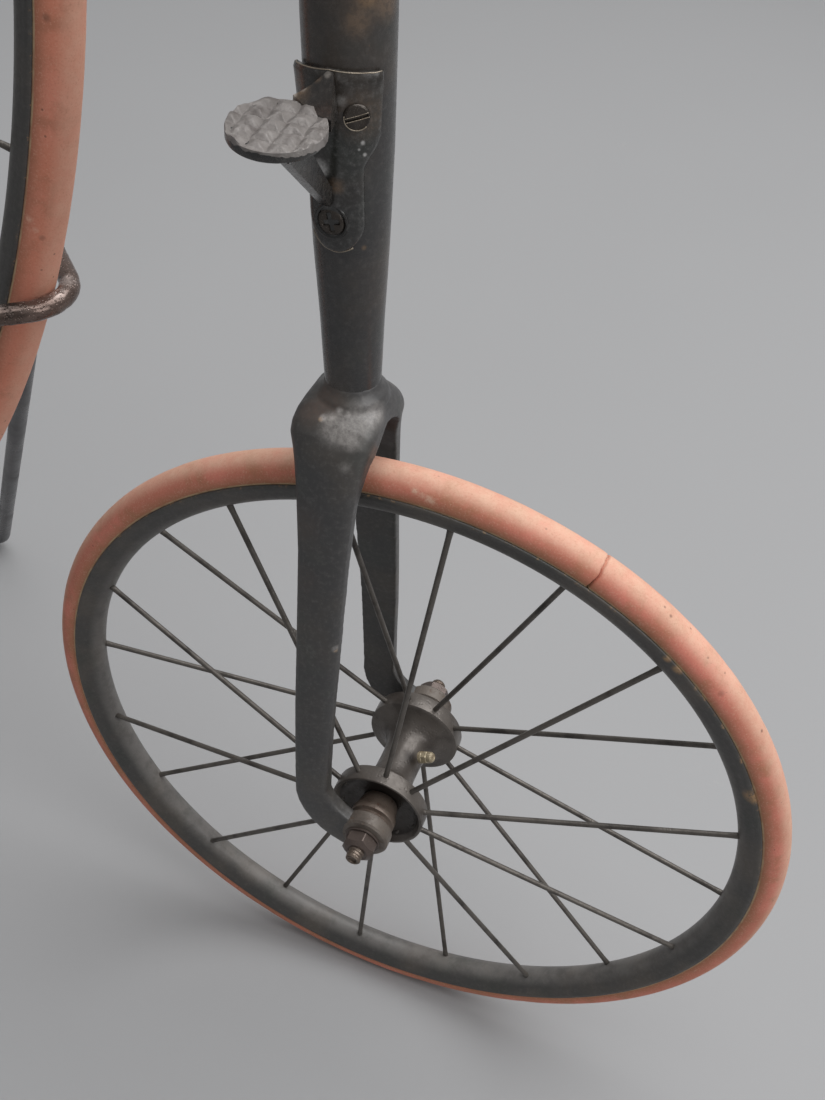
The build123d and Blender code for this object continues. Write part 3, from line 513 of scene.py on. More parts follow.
class Form:
    """Verts and faces of one piece, in millimetres, before it becomes an object."""

    def __init__(self, origin: Point = (0.0, 0.0, 0.0)) -> None:
        """Start empty, drawn from an origin in the row frame."""
        self.origin = Vector(origin)
        self.verts: list[Vector] = []
        self.faces: list[tuple[int, ...]] = []

    def rings(self, rings: Sequence[Sequence[Vector]], round_trip: bool = False, lids: bool = True) -> "Form":
        """Skin a row of rings that have the same number of points.

        Args:
            rings: Closed rings of points, in order.
            round_trip: True if the last ring joins the first.
            lids: True if both ends get a face.

        Returns:
            This form.
        """
        start, count = len(self.verts), len(rings[0])
        for ring in rings:
            self.verts.extend(Vector(point) for point in ring)
        steps = len(rings) if round_trip else len(rings) - 1
        for step in range(steps):
            low, high = start + step * count, start + (step + 1) % len(rings) * count
            for index in range(count):
                after = (index + 1) % count
                self.faces.append((low + index, low + after, high + after, high + index))
        if lids and not round_trip:
            self.faces.append(tuple(range(start + count - 1, start - 1, -1)))
            self.faces.append(tuple(start + (len(rings) - 1) * count + index for index in range(count)))
        return self

    def turned(self, profile: Sequence[tuple[float, float]], segments: int = 64,
               foot: Point = (0, 0, 0), axis: Point = (0, 1, 0)) -> "Form":
        """Turn a closed section of (along, radius) points about an axis.

        Args:
            profile: Points of the section; it is closed from the last back to the first.
            segments: Steps round the axis.
            foot: Point on the axis that along is measured from.
            axis: Direction of the axis.

        Returns:
            This form.
        """
        line = Vector(axis).normalized()
        first = line.orthogonal().normalized()
        if abs(line.y) > 0.99:
            first = Vector((1, 0, 0))
        second = line.cross(first)
        rings = []
        for step in range(segments):
            angle = math.tau * step / segments
            out = first * math.cos(angle) + second * math.sin(angle)
            rings.append([Vector(foot) + line * along + out * radius for along, radius in profile])
        return self.rings(rings, round_trip=True)

    def tube(self, path: Sequence[Vector], radius: float | Callable[[int, float], float], sides: int = 16,
             lids: bool = True) -> "Form":
        """Sweep a round section along a path.

        Args:
            path: Points of the middle line.
            radius: Radius, or a function of the path's point number and the angle round it.
            sides: Points round the section.
            lids: True if both ends are closed.

        Returns:
            This form.
        """
        rings = []
        heading = (path[1] - path[0]).normalized()
        up = heading.orthogonal().normalized()
        for number, spot in enumerate(path):
            before, after = path[max(0, number - 1)], path[min(len(path) - 1, number + 1)]
            fresh = (after - before).normalized()
            up = (heading.rotation_difference(fresh) @ up).normalized()
            heading = fresh
            side = heading.cross(up)
            ring = []
            for step in range(sides):
                angle = math.tau * step / sides
                reach = radius(number, angle) if callable(radius) else radius
                ring.append(spot + (up * math.cos(angle) + side * math.sin(angle)) * reach)
            rings.append(ring)
        return self.rings(rings, lids=lids)

    def moved(self, matrix: Matrix) -> "Form":
        """Carry every point through a matrix."""
        self.verts = [matrix @ vert for vert in self.verts]
        return self

    def made(self, name: str, smooth: bool = True, crease: float | None = 35.0) -> bpy.types.Object:
        """Weld the points and make the object.

        Args:
            name: Name of the piece.
            smooth: True for smooth shading.
            crease: Angle in degrees above which an edge stays sharp, or None for no sharp edges.

        Returns:
            The object, in the row frame.
        """
        mesh = bpy.data.meshes.new(name)
        mesh.from_pydata([(self.origin + vert) * MM for vert in self.verts], [], self.faces)
        work = bmesh.new()
        work.from_mesh(mesh)
        bmesh.ops.remove_doubles(work, verts=work.verts, dist=1e-7)
        bmesh.ops.recalc_face_normals(work, faces=work.faces)
        for edge in work.edges:
            if crease is not None and len(edge.link_faces) == 2:
                edge.smooth = edge.calc_face_angle(0.0) < math.radians(crease)
        for face in work.faces:
            face.smooth = smooth
        work.to_mesh(mesh)
        work.free()
        piece = bpy.data.objects.new(name, mesh)
        bpy.context.scene.collection.objects.link(piece)
        return piece


class Shop:
    """Steps that are shared by the sub-assemblies."""

    @staticmethod
    def settle(piece: bpy.types.Object) -> bpy.types.Object:
        """Apply a piece's modifiers to its mesh.

        Args:
            piece: The object.

        Returns:
            The same object.
        """
        bpy.context.view_layer.update()
        graph = bpy.context.evaluated_depsgraph_get()
        mesh = bpy.data.meshes.new_from_object(piece.evaluated_get(graph))
        old = piece.data
        piece.modifiers.clear()
        piece.data = mesh
        bpy.data.meshes.remove(old)
        return piece

    @staticmethod
    def forged(piece: bpy.types.Object, grain: float, passes: int) -> bpy.types.Object:
        """Melt a piece's overlapping parts into one skin and ease its edges.

        Args:
            piece: The object.
            grain: Size of the remesh.
            passes: Number of smoothing passes.

        Returns:
            The same object.
        """
        remesh = piece.modifiers.new("skin", "REMESH")
        remesh.mode = "VOXEL"
        remesh.voxel_size = grain * MM
        remesh.use_smooth_shade = True
        ease = piece.modifiers.new("ease", "SMOOTH")
        ease.factor = 0.5
        ease.iterations = passes
        return Shop.settle(piece)

    @staticmethod
    def eased_copy(name: str, node: str, grain: float, passes: int = 4, kept: float = 0.35) -> bpy.types.Object:
        """Copy of a CAD node with the soft edges of forged and filed metal.

        Args:
            name: Name of the new piece.
            node: CAD node that it stands for.
            grain: Size of the remesh.
            passes: Number of smoothing passes.
            kept: Share of the triangles that stay.

        Returns:
            The new piece.
        """
        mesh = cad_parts[node].data.copy()
        mesh.materials.clear()
        work = bmesh.new()
        work.from_mesh(mesh)
        bmesh.ops.remove_doubles(work, verts=work.verts, dist=1e-6)
        work.to_mesh(mesh)
        work.free()
        piece = bpy.data.objects.new(name, mesh)
        bpy.context.scene.collection.objects.link(piece)
        piece = Shop.forged(piece, grain, passes)
        piece.modifiers.new("thin", "DECIMATE").ratio = kept
        return Shop.settle(piece)

    @staticmethod
    def fit(piece: bpy.types.Object, body: Body, material: bpy.types.Material, slot: str,
            nodes: Iterable[str] = ()) -> bpy.types.Object:
        """Give a piece its material and body, and hide the CAD nodes it stands for.

        Args:
            piece: The object.
            body: Body that it rides on.
            material: Its finish.
            slot: Not used.
            nodes: CAD nodes that it replaces.

        Returns:
            The same object.
        """
        piece.data.materials.clear()
        piece.data.materials.append(material)
        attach(piece, body.value)
        if nodes:
            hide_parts(*nodes)
        LOG.info("%s rides on %s, %d faces", piece.name, body.value, len(piece.data.polygons))
        return piece

    @staticmethod
    def bend(points: Sequence[Point], radii: Sequence[float], step: float = 3.0) -> list[Vector]:
        """Path of straight runs joined by round bends.

        Args:
            points: Corners of the path.
            radii: Bend radius at each inner corner.
            step: Distance between points.

        Returns:
            Points along the path.
        """
        corners = [Vector(point) for point in points]
        path = [corners[0]]
        for before, corner, after, radius in zip(corners, corners[1:], corners[2:], radii):
            come, leave = (corner - before).normalized(), (after - corner).normalized()
            turn = come.angle(leave)
            run = radius * math.tan(turn / 2)
            start = corner - come * run
            inward = (leave - come * come.dot(leave)).normalized()
            centre = start + inward * radius
            count = max(4, round(radius * turn / step))
            path += [centre - inward * radius * math.cos(turn * part / count)
                     + come * radius * math.sin(turn * part / count) for part in range(count + 1)]
        path.append(corners[-1])
        full = [path[0]]
        for low, high in zip(path, path[1:]):
            count = max(1, round((high - low).length / step))
            full += [low.lerp(high, part / count) for part in range(1, count + 1)]
        return full

    @staticmethod
    def arc(start: Point, middle: Point, end: Point, share: float) -> Vector:
        """Point on the flat arc through three points, at a share of its angle.

        Args:
            start: First point.
            middle: A point on the way.
            end: Last point.
            share: Share of the angle from 0 to 1.

        Returns:
            The point.
        """
        (ax, ay), (bx, by), (cx, cy) = start, middle, end
        scale = 2 * (ax * (by - cy) + bx * (cy - ay) + cx * (ay - by))
        squares = ax * ax + ay * ay, bx * bx + by * by, cx * cx + cy * cy
        centre = Vector((
            (squares[0] * (by - cy) + squares[1] * (cy - ay) + squares[2] * (ay - by)) / scale,
            (squares[0] * (cx - bx) + squares[1] * (ax - cx) + squares[2] * (bx - ax)) / scale,
        ))
        angles = [math.atan2(y - centre.y, x - centre.x) for x, y in (start, middle, end)]
        while angles[2] - angles[0] > math.pi:
            angles[2] -= math.tau
        while angles[2] - angles[0] < -math.pi:
            angles[2] += math.tau
        angle = angles[0] + (angles[2] - angles[0]) * share
        radius = math.hypot(ax - centre.x, ay - centre.y)
        return Vector((centre.x + radius * math.cos(angle), centre.y + radius * math.sin(angle)))

    @staticmethod
    def wander(spot: Vector, size: float, seed: float = 0.0) -> float:
        """Smooth noise from -1 to 1 at a point in millimetres."""
        return noise.noise(spot / size + Vector((seed, seed * 1.7, -seed)))


# ---- shared places

REAR_AXLE = (-657.15, 0.0, 215.9)
FRONT_AXLE = (187.25, 0.0, 685.8)
RAKE = math.radians(4.0)
FORK_FRAME = Matrix.Rotation(-RAKE, 4, "Y")


def rear(x: float, y: float, z: float) -> tuple[float, float, float]:
    """Row place of a point that is measured from the rear axle."""
    return REAR_AXLE[0] + x, REAR_AXLE[1] + y, REAR_AXLE[2] + z


def marks(*rows: tuple[float, ...]) -> tuple[Mark, ...]:
    """Marks from rows of x, y and z measured from the rear axle, a reach and a strength."""
    return tuple(Mark(rear(*row[:3]), *row[3:]) for row in rows)


@dataclass
class Wheel:
    """Wheel with a solid tyre, a deep rim, wire spokes and a spool hub."""

    label: str
    body: Body
    axle: tuple[float, float, float]
    radius: float
    section: float
    rim_depth: float
    spokes: int
    phase: float
    flange_radius: float
    flange_middle: float
    hub_profile: tuple[tuple[float, float], ...]
    hub_finish: OldSteel
    turns: int
    rubber: AgedRubber
    flakes: tuple[Mark, ...] = ()
    seam: float | None = None
    seat_drop: float = 3.4
    lip: float = 0.6
    seat_gap: float = 0.1
    nose: float = 7.1
    spoke_radius: float = 1.5
    spoke_hold: float = 2.5
    rim_offset: float = 2.5
    hold: float = 2.0
    tyre_sides: int = 32
    lump: float = 0.16
    ripple: float = 0.1
    nick: float = 0.9
    spoke_bow: float = 0.6

    @property
    def ring(self) -> float:
        """Radius of the tyre's middle line."""
        return self.radius - self.section

    @property
    def junction(self) -> float:
        """Radius at which the tyre leaves the rim."""
        return self.ring - self.seat_drop

    def build(self) -> None:
        """Build and dress every piece of the wheel."""
        self.build_tyre()
        self.build_rim()
        self.build_spokes()
        self.build_hub()

    def angles(self) -> list[float]:
        """Steps round the tyre, with close ones at the seam.

        Returns:
            Angles in radians.
        """
        steps = [math.tau * turn / self.turns for turn in range(self.turns)]
        if self.seam is None:
            return steps
        seam = math.radians(self.seam) % math.tau
        close = [seam + offset / self.radius for offset in (-2.6, -1.6, -0.9, -0.45, 0.0, 0.45, 0.9, 1.6, 2.6)]
        clear = 3.4 / self.radius
        return sorted([step for step in steps if abs(step - seam) > clear] + close)

    def build_tyre(self) -> None:
        """Round tyre with slight lumps, small nicks and the open joint of the rubber."""
        rings = []
        for angle in self.angles():
            ring = []
            for side in range(self.tyre_sides):
                turn = math.tau * side / self.tyre_sides
                out, across = math.cos(turn), math.sin(turn)
                seam_angle = angle
                reach = self.section
                if self.seam is not None:
                    jag = 0.7 * Shop.wander(Vector((turn * 9, 3.0, 1.0)), 4.0) + 0.5 * math.sin(turn * 1.3)
                    seam_angle = angle + jag / self.radius * (1 if abs(self.off_seam(angle)) < 3.0 else 0)
                    reach -= self.seam_depth(self.off_seam(angle)) * (1.0 if out > -0.5 else 0.0)
                spot = Vector((math.cos(seam_angle) * self.ring, across * 20, math.sin(seam_angle) * self.ring))
                if out > -0.2:
                    reach += self.lump * Shop.wander(spot, 34.0) + self.ripple * Shop.wander(spot, 9.0, 4.0)
                    reach -= self.nick * max(0.0, Shop.wander(spot, 5.0, 9.0) - 0.52)
                    reach = min(reach, self.section)
                distance = self.ring + reach * out
                ring.append(Vector((math.cos(seam_angle) * distance, reach * across,
                                    math.sin(seam_angle) * distance)))
            rings.append(ring)
        piece = Form(self.axle).rings(rings, round_trip=True).made(f"{self.label}_tyre_rubber", crease=None)
        Shop.fit(piece, self.body, self.rubber.make(), "tyre_rubber", [f"{self.label}_tyre"])

    def off_seam(self, angle: float) -> float:
        """Distance round the tyre from the seam, in millimetres."""
        seam = math.radians(self.seam or 0.0)
        return ((angle - seam + math.pi) % math.tau - math.pi) * self.radius

    @staticmethod
    def seam_depth(distance: float) -> float:
        """Depth of the open joint at a distance from its middle."""
        return 2.6 * max(0.0, 1 - abs(distance) / 0.62) + 0.25 * max(0.0, 1 - abs(distance) / 2.2)

    def build_rim(self) -> None:
        """Deep rim with a rounded nose and thin rolled lips."""
        base = self.radius - self.rim_depth
        lip_half = self.section + self.lip
        depth = self.junction - base
        outer = [
            (lip_half - 0.5, self.junction), (lip_half, self.junction - 0.5), (lip_half - 0.1, self.junction - 2.5)]
        for step in range(1, 10):
            turn = math.radians(10 * step)
            outer.append((self.nose * math.cos(turn) ** 0.8 + (lip_half - self.nose) * (1 - step / 9) * 0.8,
                          base + depth * 0.78 * (1 - math.sin(turn) ** 1.25)))
        seat = self.section + self.seat_gap
        well = []
        open_half = math.sqrt(seat ** 2 - self.seat_drop ** 2)
        for step in range(8):
            across = open_half * (1 - step / 8)
            well.append((across, self.ring - math.sqrt(seat ** 2 - across ** 2)))
        half = [(open_half, self.junction)] + outer
        bottom = [(0.0, base)]
        profile = half + bottom + [(-y, r) for y, r in reversed(half)]
        profile += [(-y, r) for y, r in well[1:]] + [(0.0, self.ring - seat)] + [
            (y, r) for y, r in reversed(well[1:])]
        piece = Form(self.axle).turned(profile, self.turns // 2).made(f"{self.label}_rim_shell", crease=50)
        finish = WornEnamel(
            f"{self.label} rim enamel", base=tint(60, 58, 56), warm=tint(76, 70, 64), chips=0.35,
            ring=(self.axle, self.junction), gloss=0.42, flakes=self.flakes)
        Shop.fit(piece, self.body, finish.make(), "rim_enamel", [f"{self.label}_rim"])

    def spoke_line(self, number: int) -> tuple[Vector, Vector]:
        """Ends of one spoke, from the flange's edge to the rim.

        Args:
            number: Number of the spoke.

        Returns:
            Its inner and outer end.
        """
        angle = math.radians(self.phase - number * 360 / self.spokes)
        side = 1 if number % 2 == 0 else -1
        out = Vector((math.cos(angle), 0, math.sin(angle)))
        inner = out * (self.flange_radius - self.spoke_hold) + Vector((0, side * self.flange_middle, 0))
        outer = out * (self.radius - self.rim_depth + self.hold) + Vector((0, side * self.rim_offset, 0))
        return inner, outer

    def build_spokes(self) -> None:
        """Wire spokes, each slightly thicker where it is screwed in and let into the rim."""
        form = Form(self.axle)
        for number in range(self.spokes):
            inner, outer = self.spoke_line(number)
            line = outer - inner
            sway = Shop.wander(Vector((number * 7.3, 0, 0)), 3.0)
            bow = line.cross(Vector((0, 1, 0))).normalized() * self.spoke_bow * sway
            stops = [0, 1.0, 3.4, 5.5, 6.5, 9]
            stops += [9 + (line.length - 18) * part / 8 for part in range(1, 9)]
            stops += [line.length - part for part in (7.6, 7.0, 4.0, 2.5, 0)]
            path = [inner + line * (stop / line.length) + bow * math.sin(math.pi * stop / line.length)
                    for stop in stops]
            swell = [1.1, 1.1, 1.1, 1.05, 1.0] + [1.0] * (len(stops) - 9) + [1.0, 1.08, 1.14, 1.14]

            def reach(place: int, angle: float, swell: list[float] = swell) -> float:
                """Radius of the wire at one point of its path."""
                return self.spoke_radius * swell[place]

            form.tube(path, reach, 10)
        piece = form.made(f"{self.label}_spoke_wires", crease=None)
        wire = OldSteel(f"{self.label} spoke wire", steel=tint(94, 89, 84), stain=tint(60, 56, 53), rusted=0.35,
                        rust=tint(92, 72, 60), pale=tint(130, 120, 112), metal=0.5, rough=0.46, grain=4.0)
        Shop.fit(piece, self.body, wire.make(), "spoke_steel", [f"{self.label}_spokes"])

    def build_hub(self) -> None:
        """Turned spool hub."""
        half = self.hub_profile
        profile = [(-along, radius) for along, radius in reversed(half)] + list(half)
        piece = Form(self.axle).turned(profile, 128).made(f"{self.label}_hub_spool", crease=32)
        Shop.fit(piece, self.body, self.hub_finish.make(), "hub_steel", [f"{self.label}_hub"])


@dataclass
class RearAxle:
    """Fixed rear axle with its bearing cones, washers, nuts and the hub's oiler."""

    thread: float = 4.6
    tip: float = 4.3
    half: float = 67.5
    tip_start: float = 62.5
    pitch: float = 1.9
    hollow: float = 2.2
    journal: float = 6.5
    journal_half: float = 27.0
    thread_from: float = 40.0
    thread_depth: float = 0.4
    flats: float = 16.4
    nut_from: float = 54.2
    nut_to: float = 62.2
    nut_end: float = 6.3
    nut_slope: float = 0.8
    oiler_y: float = -7.0
    oiler_angle: float = 152.0
    oiler_foot: float = 10.9
    cone: tuple[tuple[float, float], ...] = (
        (27.6, 4.7), (27.6, 10.2), (30.6, 11.0), (34.0, 11.4), (35.4, 11.6), (35.8, 12.3), (36.4, 12.6),
        (39.6, 12.6),
        (40.2, 12.3), (40.5, 11.5), (41.2, 10.8), (42.8, 10.8), (43.3, 11.6), (44.0, 11.8), (44.0, 4.7),
    )
    washer: tuple[tuple[float, float], ...] = (
        (53.0, 4.7), (53.0, 9.6), (53.2, 9.9), (53.8, 9.9), (54.2, 9.5), (54.2, 4.7),
    )

    def build(self) -> None:
        """Build and dress every piece of the axle."""
        steel = OldSteel("axle steel", steel=tint(118, 106, 96), stain=tint(72, 60, 52), rust=tint(104, 76, 58),
                         pale=tint(172, 158, 140), rusted=0.3, rough=0.36, metal=0.7, grain=3.0)
        self.build_axle(steel.make())
        self.build_cones()
        self.build_nuts()
        self.build_oiler()

    def thread_radius(self, along: float, angle: float) -> float:
        """Radius of the axle's screw thread at a place.

        Args:
            along: Place along the axle.
            angle: Angle round it.

        Returns:
            Radius in millimetres.
        """
        base = self.tip if abs(along) > self.tip_start else self.thread
        if abs(along) < self.thread_from:
            return base
        turn = (abs(along) / self.pitch + angle / math.tau) % 1.0
        chamfer = max(0.0, abs(along) - self.half + 0.8)
        return base - self.thread_depth * abs(turn * 2 - 1) - chamfer

    def build_axle(self, material: bpy.types.Material) -> None:
        """Axle with its two threaded ends, each with a turned hollow.

        Args:
            material: Its finish.
        """
        steps = [self.half * 2 * step / 520 - self.half for step in range(521)]
        path = [Vector((0, step, 0)) for step in steps]
        form = Form(REAR_AXLE).tube(path, lambda number, angle: self.thread_radius(steps[number], angle), 40, False)
        for side in (1, -1):
            hollow = ((0, self.tip - 1.2), (0.2, self.hollow + 0.2), (1.0, self.hollow), (1.2, 0), (3, 0),
                      (3, self.tip - 1.2))
            form.turned([(side * (self.half - deep), radius) for deep, radius in hollow], 40)
        journal = self.journal_half
        form.turned([(-journal, 4.0), (-journal, self.journal), (journal, self.journal), (journal, 4.0)], 48)
        Shop.fit(form.made("rear_axle_rod", crease=60), Body.FRAME, material, "bolt_steel", ["rear_axle"])

    def build_cones(self) -> None:
        """Bearing cones inside the fork ends: two broad rings with a rusty groove between them."""
        form = Form(REAR_AXLE).turned(self.cone, 96)
        form.turned([(-along, radius) for along, radius in self.cone], 96)
        steel = OldSteel("cone steel", steel=tint(104, 92, 83), stain=tint(70, 56, 48), rust=tint(80, 54, 42),
                         pale=tint(146, 132, 116), rusted=0.6, rough=0.42, metal=0.4, grain=3.0)
        Shop.fit(form.made("rear_bearing_cones", crease=30), Body.FRAME, steel.make(), "bolt_steel", ["rear_cones"])

    def nut(self, form: Form, side: int, twist: float) -> None:
        """Hexagon nut on one end of the axle, with a strong conical chamfer at its outer face.

        Args:
            form: Form that takes it.
            side: 1 for left, -1 for right.
            twist: Turn of its corners in radians.
        """
        def ring(limit: float, along: Callable[[float], float]) -> list[Vector]:
            """Points round the hexagon, held inside a circle."""
            points = []
            for step in range(96):
                angle = math.tau * step / 96
                flat = self.flats / 2 / math.cos((angle + twist) % (math.pi / 3) - math.pi / 6)
                reach = min(flat, limit)
                points.append(Vector((reach * math.cos(angle), side * along(reach), reach * math.sin(angle))))
            return points

        def outer(reach: float) -> float:
            """Outer face, cut back by the cone."""
            return self.nut_to - max(0.0, reach - self.nut_end) * self.nut_slope

        def inner(reach: float) -> float:
            """Inner face, slightly cut back at the corners."""
            return self.nut_from + max(0.0, reach - self.flats / 2) * 0.5

        form.rings([ring(self.thread, inner), ring(8.0, inner), ring(20.0, inner), ring(20.0, outer),
                    ring(7.6, outer), ring(self.nut_end, outer), ring(self.thread, outer)], round_trip=True)

    def build_nuts(self) -> None:
        """Washers and nuts outside the fork ends."""
        form = Form(REAR_AXLE)
        for side, twist in ((1, 0.3), (-1, 0.72)):
            self.nut(form, side, twist)
            form.turned([(side * along, radius) for along, radius in self.washer], 80)
        steel = OldSteel("nut steel", steel=tint(88, 77, 72), stain=tint(60, 51, 47), rust=tint(92, 66, 54),
                         pale=tint(150, 136, 122), rusted=0.3, rough=0.4, metal=0.5, grain=4.0)
        Shop.fit(form.made("rear_hex_nuts", crease=24), Body.FRAME, steel.make(), "bolt_steel", ["rear_nuts"])

    def build_oiler(self) -> None:
        """Oiler on the barrel: collar, hexagon and domed cap, worn to a pale ivory."""
        angle = math.radians(self.oiler_angle)
        line = Vector((math.cos(angle), 0, math.sin(angle)))
        foot = Vector((0, self.oiler_y, 0)) + line * self.oiler_foot
        form = Form(REAR_AXLE)
        form.turned([(0, 0), (0, 3.5), (2.2, 3.5), (2.6, 3.1), (2.6, 0)], 48, foot, line)
        hexagon = []
        for along, size in ((2.4, 3.3), (2.8, 3.75), (5.3, 3.75), (5.8, 3.3)):
            hexagon.append([foot + self.around(line, math.tau * step / 6,
                                               size) + line * along for step in range(6)])
        form.rings(hexagon)
        form.turned([(5.6, 0), (5.6, 3.0), (6.6, 3.2), (8.0, 3.0), (9.0, 2.2), (9.3, 1.3), (9.0, 0.9), (8.9, 0)],
                    48, foot, line)
        brass = OldSteel("pale brass", steel=tint(158, 146, 122), stain=tint(112, 95, 74), rust=tint(92, 70, 52),
                         pale=tint(206, 196, 172), rusted=0.5, stained=0.6, rough=0.4, metal=0.25, grain=1.8)
        Shop.fit(form.made("rear_brass_oiler", crease=28), Body.REAR_WHEEL, brass.make(), "brass", ["rear_oiler"])

    @staticmethod
    def around(line: Vector, angle: float, size: float) -> Vector:
        """Offset of a size square to a line, at an angle round it."""
        first = line.orthogonal().normalized()
        return (first * math.cos(angle) + line.cross(first) * math.sin(angle)) * size


@dataclass
class RearFork:
    """Forged rear fork: a square-shouldered crown, two broad domed blades and hooked ends with eyes."""

    grain: float = 0.8
    passes: int = 4
    inner_eye: float = 44.0
    eye_thickness: float = 9.0
    eye_radius: float = 13.7
    dome: float = 0.56
    # inner and outer point of the band's section (y, z, y, z), middle x, half width, thickness of its edges
    stations: tuple[tuple[float, ...], ...] = (
        (0.0, 237.0, 0.0, 252.4, 44.0, 18.4, 3.0),
        (5.0, 236.2, 9.0, 251.1, 44.1, 19.0, 2.8),
        (9.6, 233.8, 15.8, 248.2, 44.4, 19.8, 2.6),
        (13.0, 230.8, 21.6, 244.2, 44.6, 20.0, 2.4),
        (15.2, 227.6, 26.0, 239.0, 44.5, 19.4, 2.4),
        (16.6, 223.6, 28.8, 231.6, 43.9, 17.6, 2.6),
        (18.0, 218.0, 30.6, 223.0, 43.4, 16.2, 2.9),
        (20.6, 211.5, 32.0, 213.6, 42.8, 15.0, 3.1),
        (23.5, 204.5, 33.6, 205.4, 42.1, 13.9, 3.2),
        (28.0, 176.0, 37.6, 177.0, 40.2, 12.2, 3.1),
        (32.4, 147.0, 41.4, 148.0, 38.6, 11.5, 3.0),
        (36.8, 114.0, 45.6, 115.0, 36.8, 10.9, 3.0),
        (40.6, 83.0, 49.4, 84.0, 35.3, 10.3, 3.1),
        (42.8, 52.0, 51.6, 53.0, 33.9, 9.7, 3.6),
        (44.0, 29.0, 53.0, 29.3, 32.6, 9.4, 4.2),
    )
    hook_front: tuple[tuple[float, float], ...] = ((41.8, 25.0), (32.4, -1.0), (4.0, -13.5))
    hook_back: tuple[tuple[float, float], ...] = ((23.0, 25.0), (15.4, 13.9), (4.0, 8.0))
    flare: tuple[tuple[float, float], ...] = ((-2.0, 0), (-2.0, 16.4), (1.6, 15.6), (3.0, 14.4), (4.6, 13.3),
                                              (6.2, 12.7), (7.4, 12.5), (7.4, 0))
    tube_foot: tuple[float, float, float] = (43.1, 0.0, 249.0)
    tube_line: tuple[float, float, float] = (0.0702, 0.0, 0.9975)
    axle_hole: float = 4.7

    def section(self, centre: Vector, wide: Vector, out: Vector, half: float, middle: float,
                edge: float) -> list[Vector]:
        """Ring of the band: flat inside, thin edges and a domed outer face.

        Args:
            centre: Middle of the inner face.
            wide: Direction across the band.
            out: Direction of its thickness.
            half: Half width.
            middle: Thickness in the middle.
            edge: Thickness at the edges.

        Returns:
            Points of the ring.
        """
        points = [centre + wide * (half * share) for share in (-0.98, -0.5, 0.0, 0.5, 0.98)]
        points.append(centre + wide * half + out * 0.4)
        for step in range(17):
            turn = math.pi * step / 16
            rise = edge + (middle - edge) * math.sin(turn) ** self.dome
            points.append(centre + wide * (half * math.cos(turn)) + out * rise)
        points.append(centre - wide * half + out * 0.4)
        return points

    def half_band(self, side: int) -> list[list[Vector]]:
        """Rings from the crown's middle down one blade and round its hook.

        Args:
            side: 1 for left, -1 for right.

        Returns:
            The rings in order.
        """
        rings = []
        for y, z, outer_y, outer_z, x, half, edge in self.stations:
            out = Vector((0, side * (outer_y - y), outer_z - z))
            rings.append(self.section(Vector((x, side * y, z)), Vector((1, 0, 0)), out.normalized(), half,
                                      out.length, edge))
        out = Vector((0, side, 0))
        for step in range(9):
            front = Shop.arc(*self.hook_front, step / 8)
            back = Shop.arc(*self.hook_back, step / 8)
            centre = (front + back) / 2
            wide = front - back
            edge = 4.4 + 2.2 * step / 8
            rings.append(self.section(Vector((centre.x, side * self.inner_eye, centre.y)),
                                      Vector((wide.x, 0, wide.y)).normalized(), out, wide.length / 2,
                                      self.eye_thickness, edge))
        return rings

    def build(self) -> None:
        """Build the fork as one forged skin."""
        form = Form(REAR_AXLE)
        left, right = self.half_band(1), self.half_band(-1)
        form.rings(list(reversed(right)) + left[1:])
        form.turned(self.flare, 64, self.tube_foot, self.tube_line)
        eyes = Form(REAR_AXLE)
        for side in (1, -1):
            low, high = self.inner_eye, self.inner_eye + self.eye_thickness
            boss = [(low, self.axle_hole), (low, self.eye_radius - 1.0), (low + 0.8, self.eye_radius),
                    (high - 1.6, self.eye_radius), (high - 0.4, self.eye_radius - 0.9),
                    (high, self.eye_radius - 2.0), (high, self.axle_hole)]
            eyes.turned([(side * along, radius) for along, radius in boss], 72)
        worn = OldSteel("eye steel", steel=tint(96, 88, 81), stain=tint(66, 58, 52), rust=tint(86, 64, 50),
                        pale=tint(128, 118, 106), rusted=0.55, rough=0.5, metal=0.2, grain=4.0)
        Shop.fit(eyes.made("rear_fork_eyes", crease=32), Body.FRAME, worn.make(), "frame_enamel")
        piece = Shop.forged(form.made("rear_fork_forging", crease=None), self.grain, self.passes)
        finish = WornEnamel(
            "fork enamel", base=tint(57, 56, 56), warm=tint(68, 64, 60), green=tint(62, 64, 61), chips=0.3,
            gloss=0.38, brown=tint(84, 70, 63), rubbed=tint(172, 167, 163),
            # Mostly a painted highlight on the crown's upward face and small painted glints, with some real rubbed
            # wear.
            rubs_and_highlights=marks(
                (41, 22.6, 243, 11, 0.62), (32.1, 15.1, 247, 12, 0.5), (33.3, 23.6, 239.7, 6, 0.5),
                (45.5, 20, 246, 4.5, 0.7), (27.4, 9, 247, 8, 0.45), (48.3, 20, 245.2, 2.6, 1.0),
                (42.5, 16.5, 248.5, 2.6, 0.9), (38.5, 16.8, 248.5, 2.6, 0.9), (34, 28.2, 228.8, 4, 0.35),
                (27.2, 41.5, 128.5, 3.0, 0.6)),
            stains_and_highlights=marks(
                (48.3, 14.6, 249, 11, 0.8), (54.8, 18.5, 244.8, 9, 0.65), (50.2, 34.1, 195.8, 14, 0.35),
                (47.3, 38.4, 164.8, 12, 0.3), (6, 48, -8, 12, 0.7)),
            flakes=marks((49.2, 20.6, 244.6, 1.6, 0.8), (27.6, 41, 127, 1.6, 0.8)))
        Shop.fit(piece, Body.FRAME, finish.make(), "frame_enamel", ["rear_fork"])


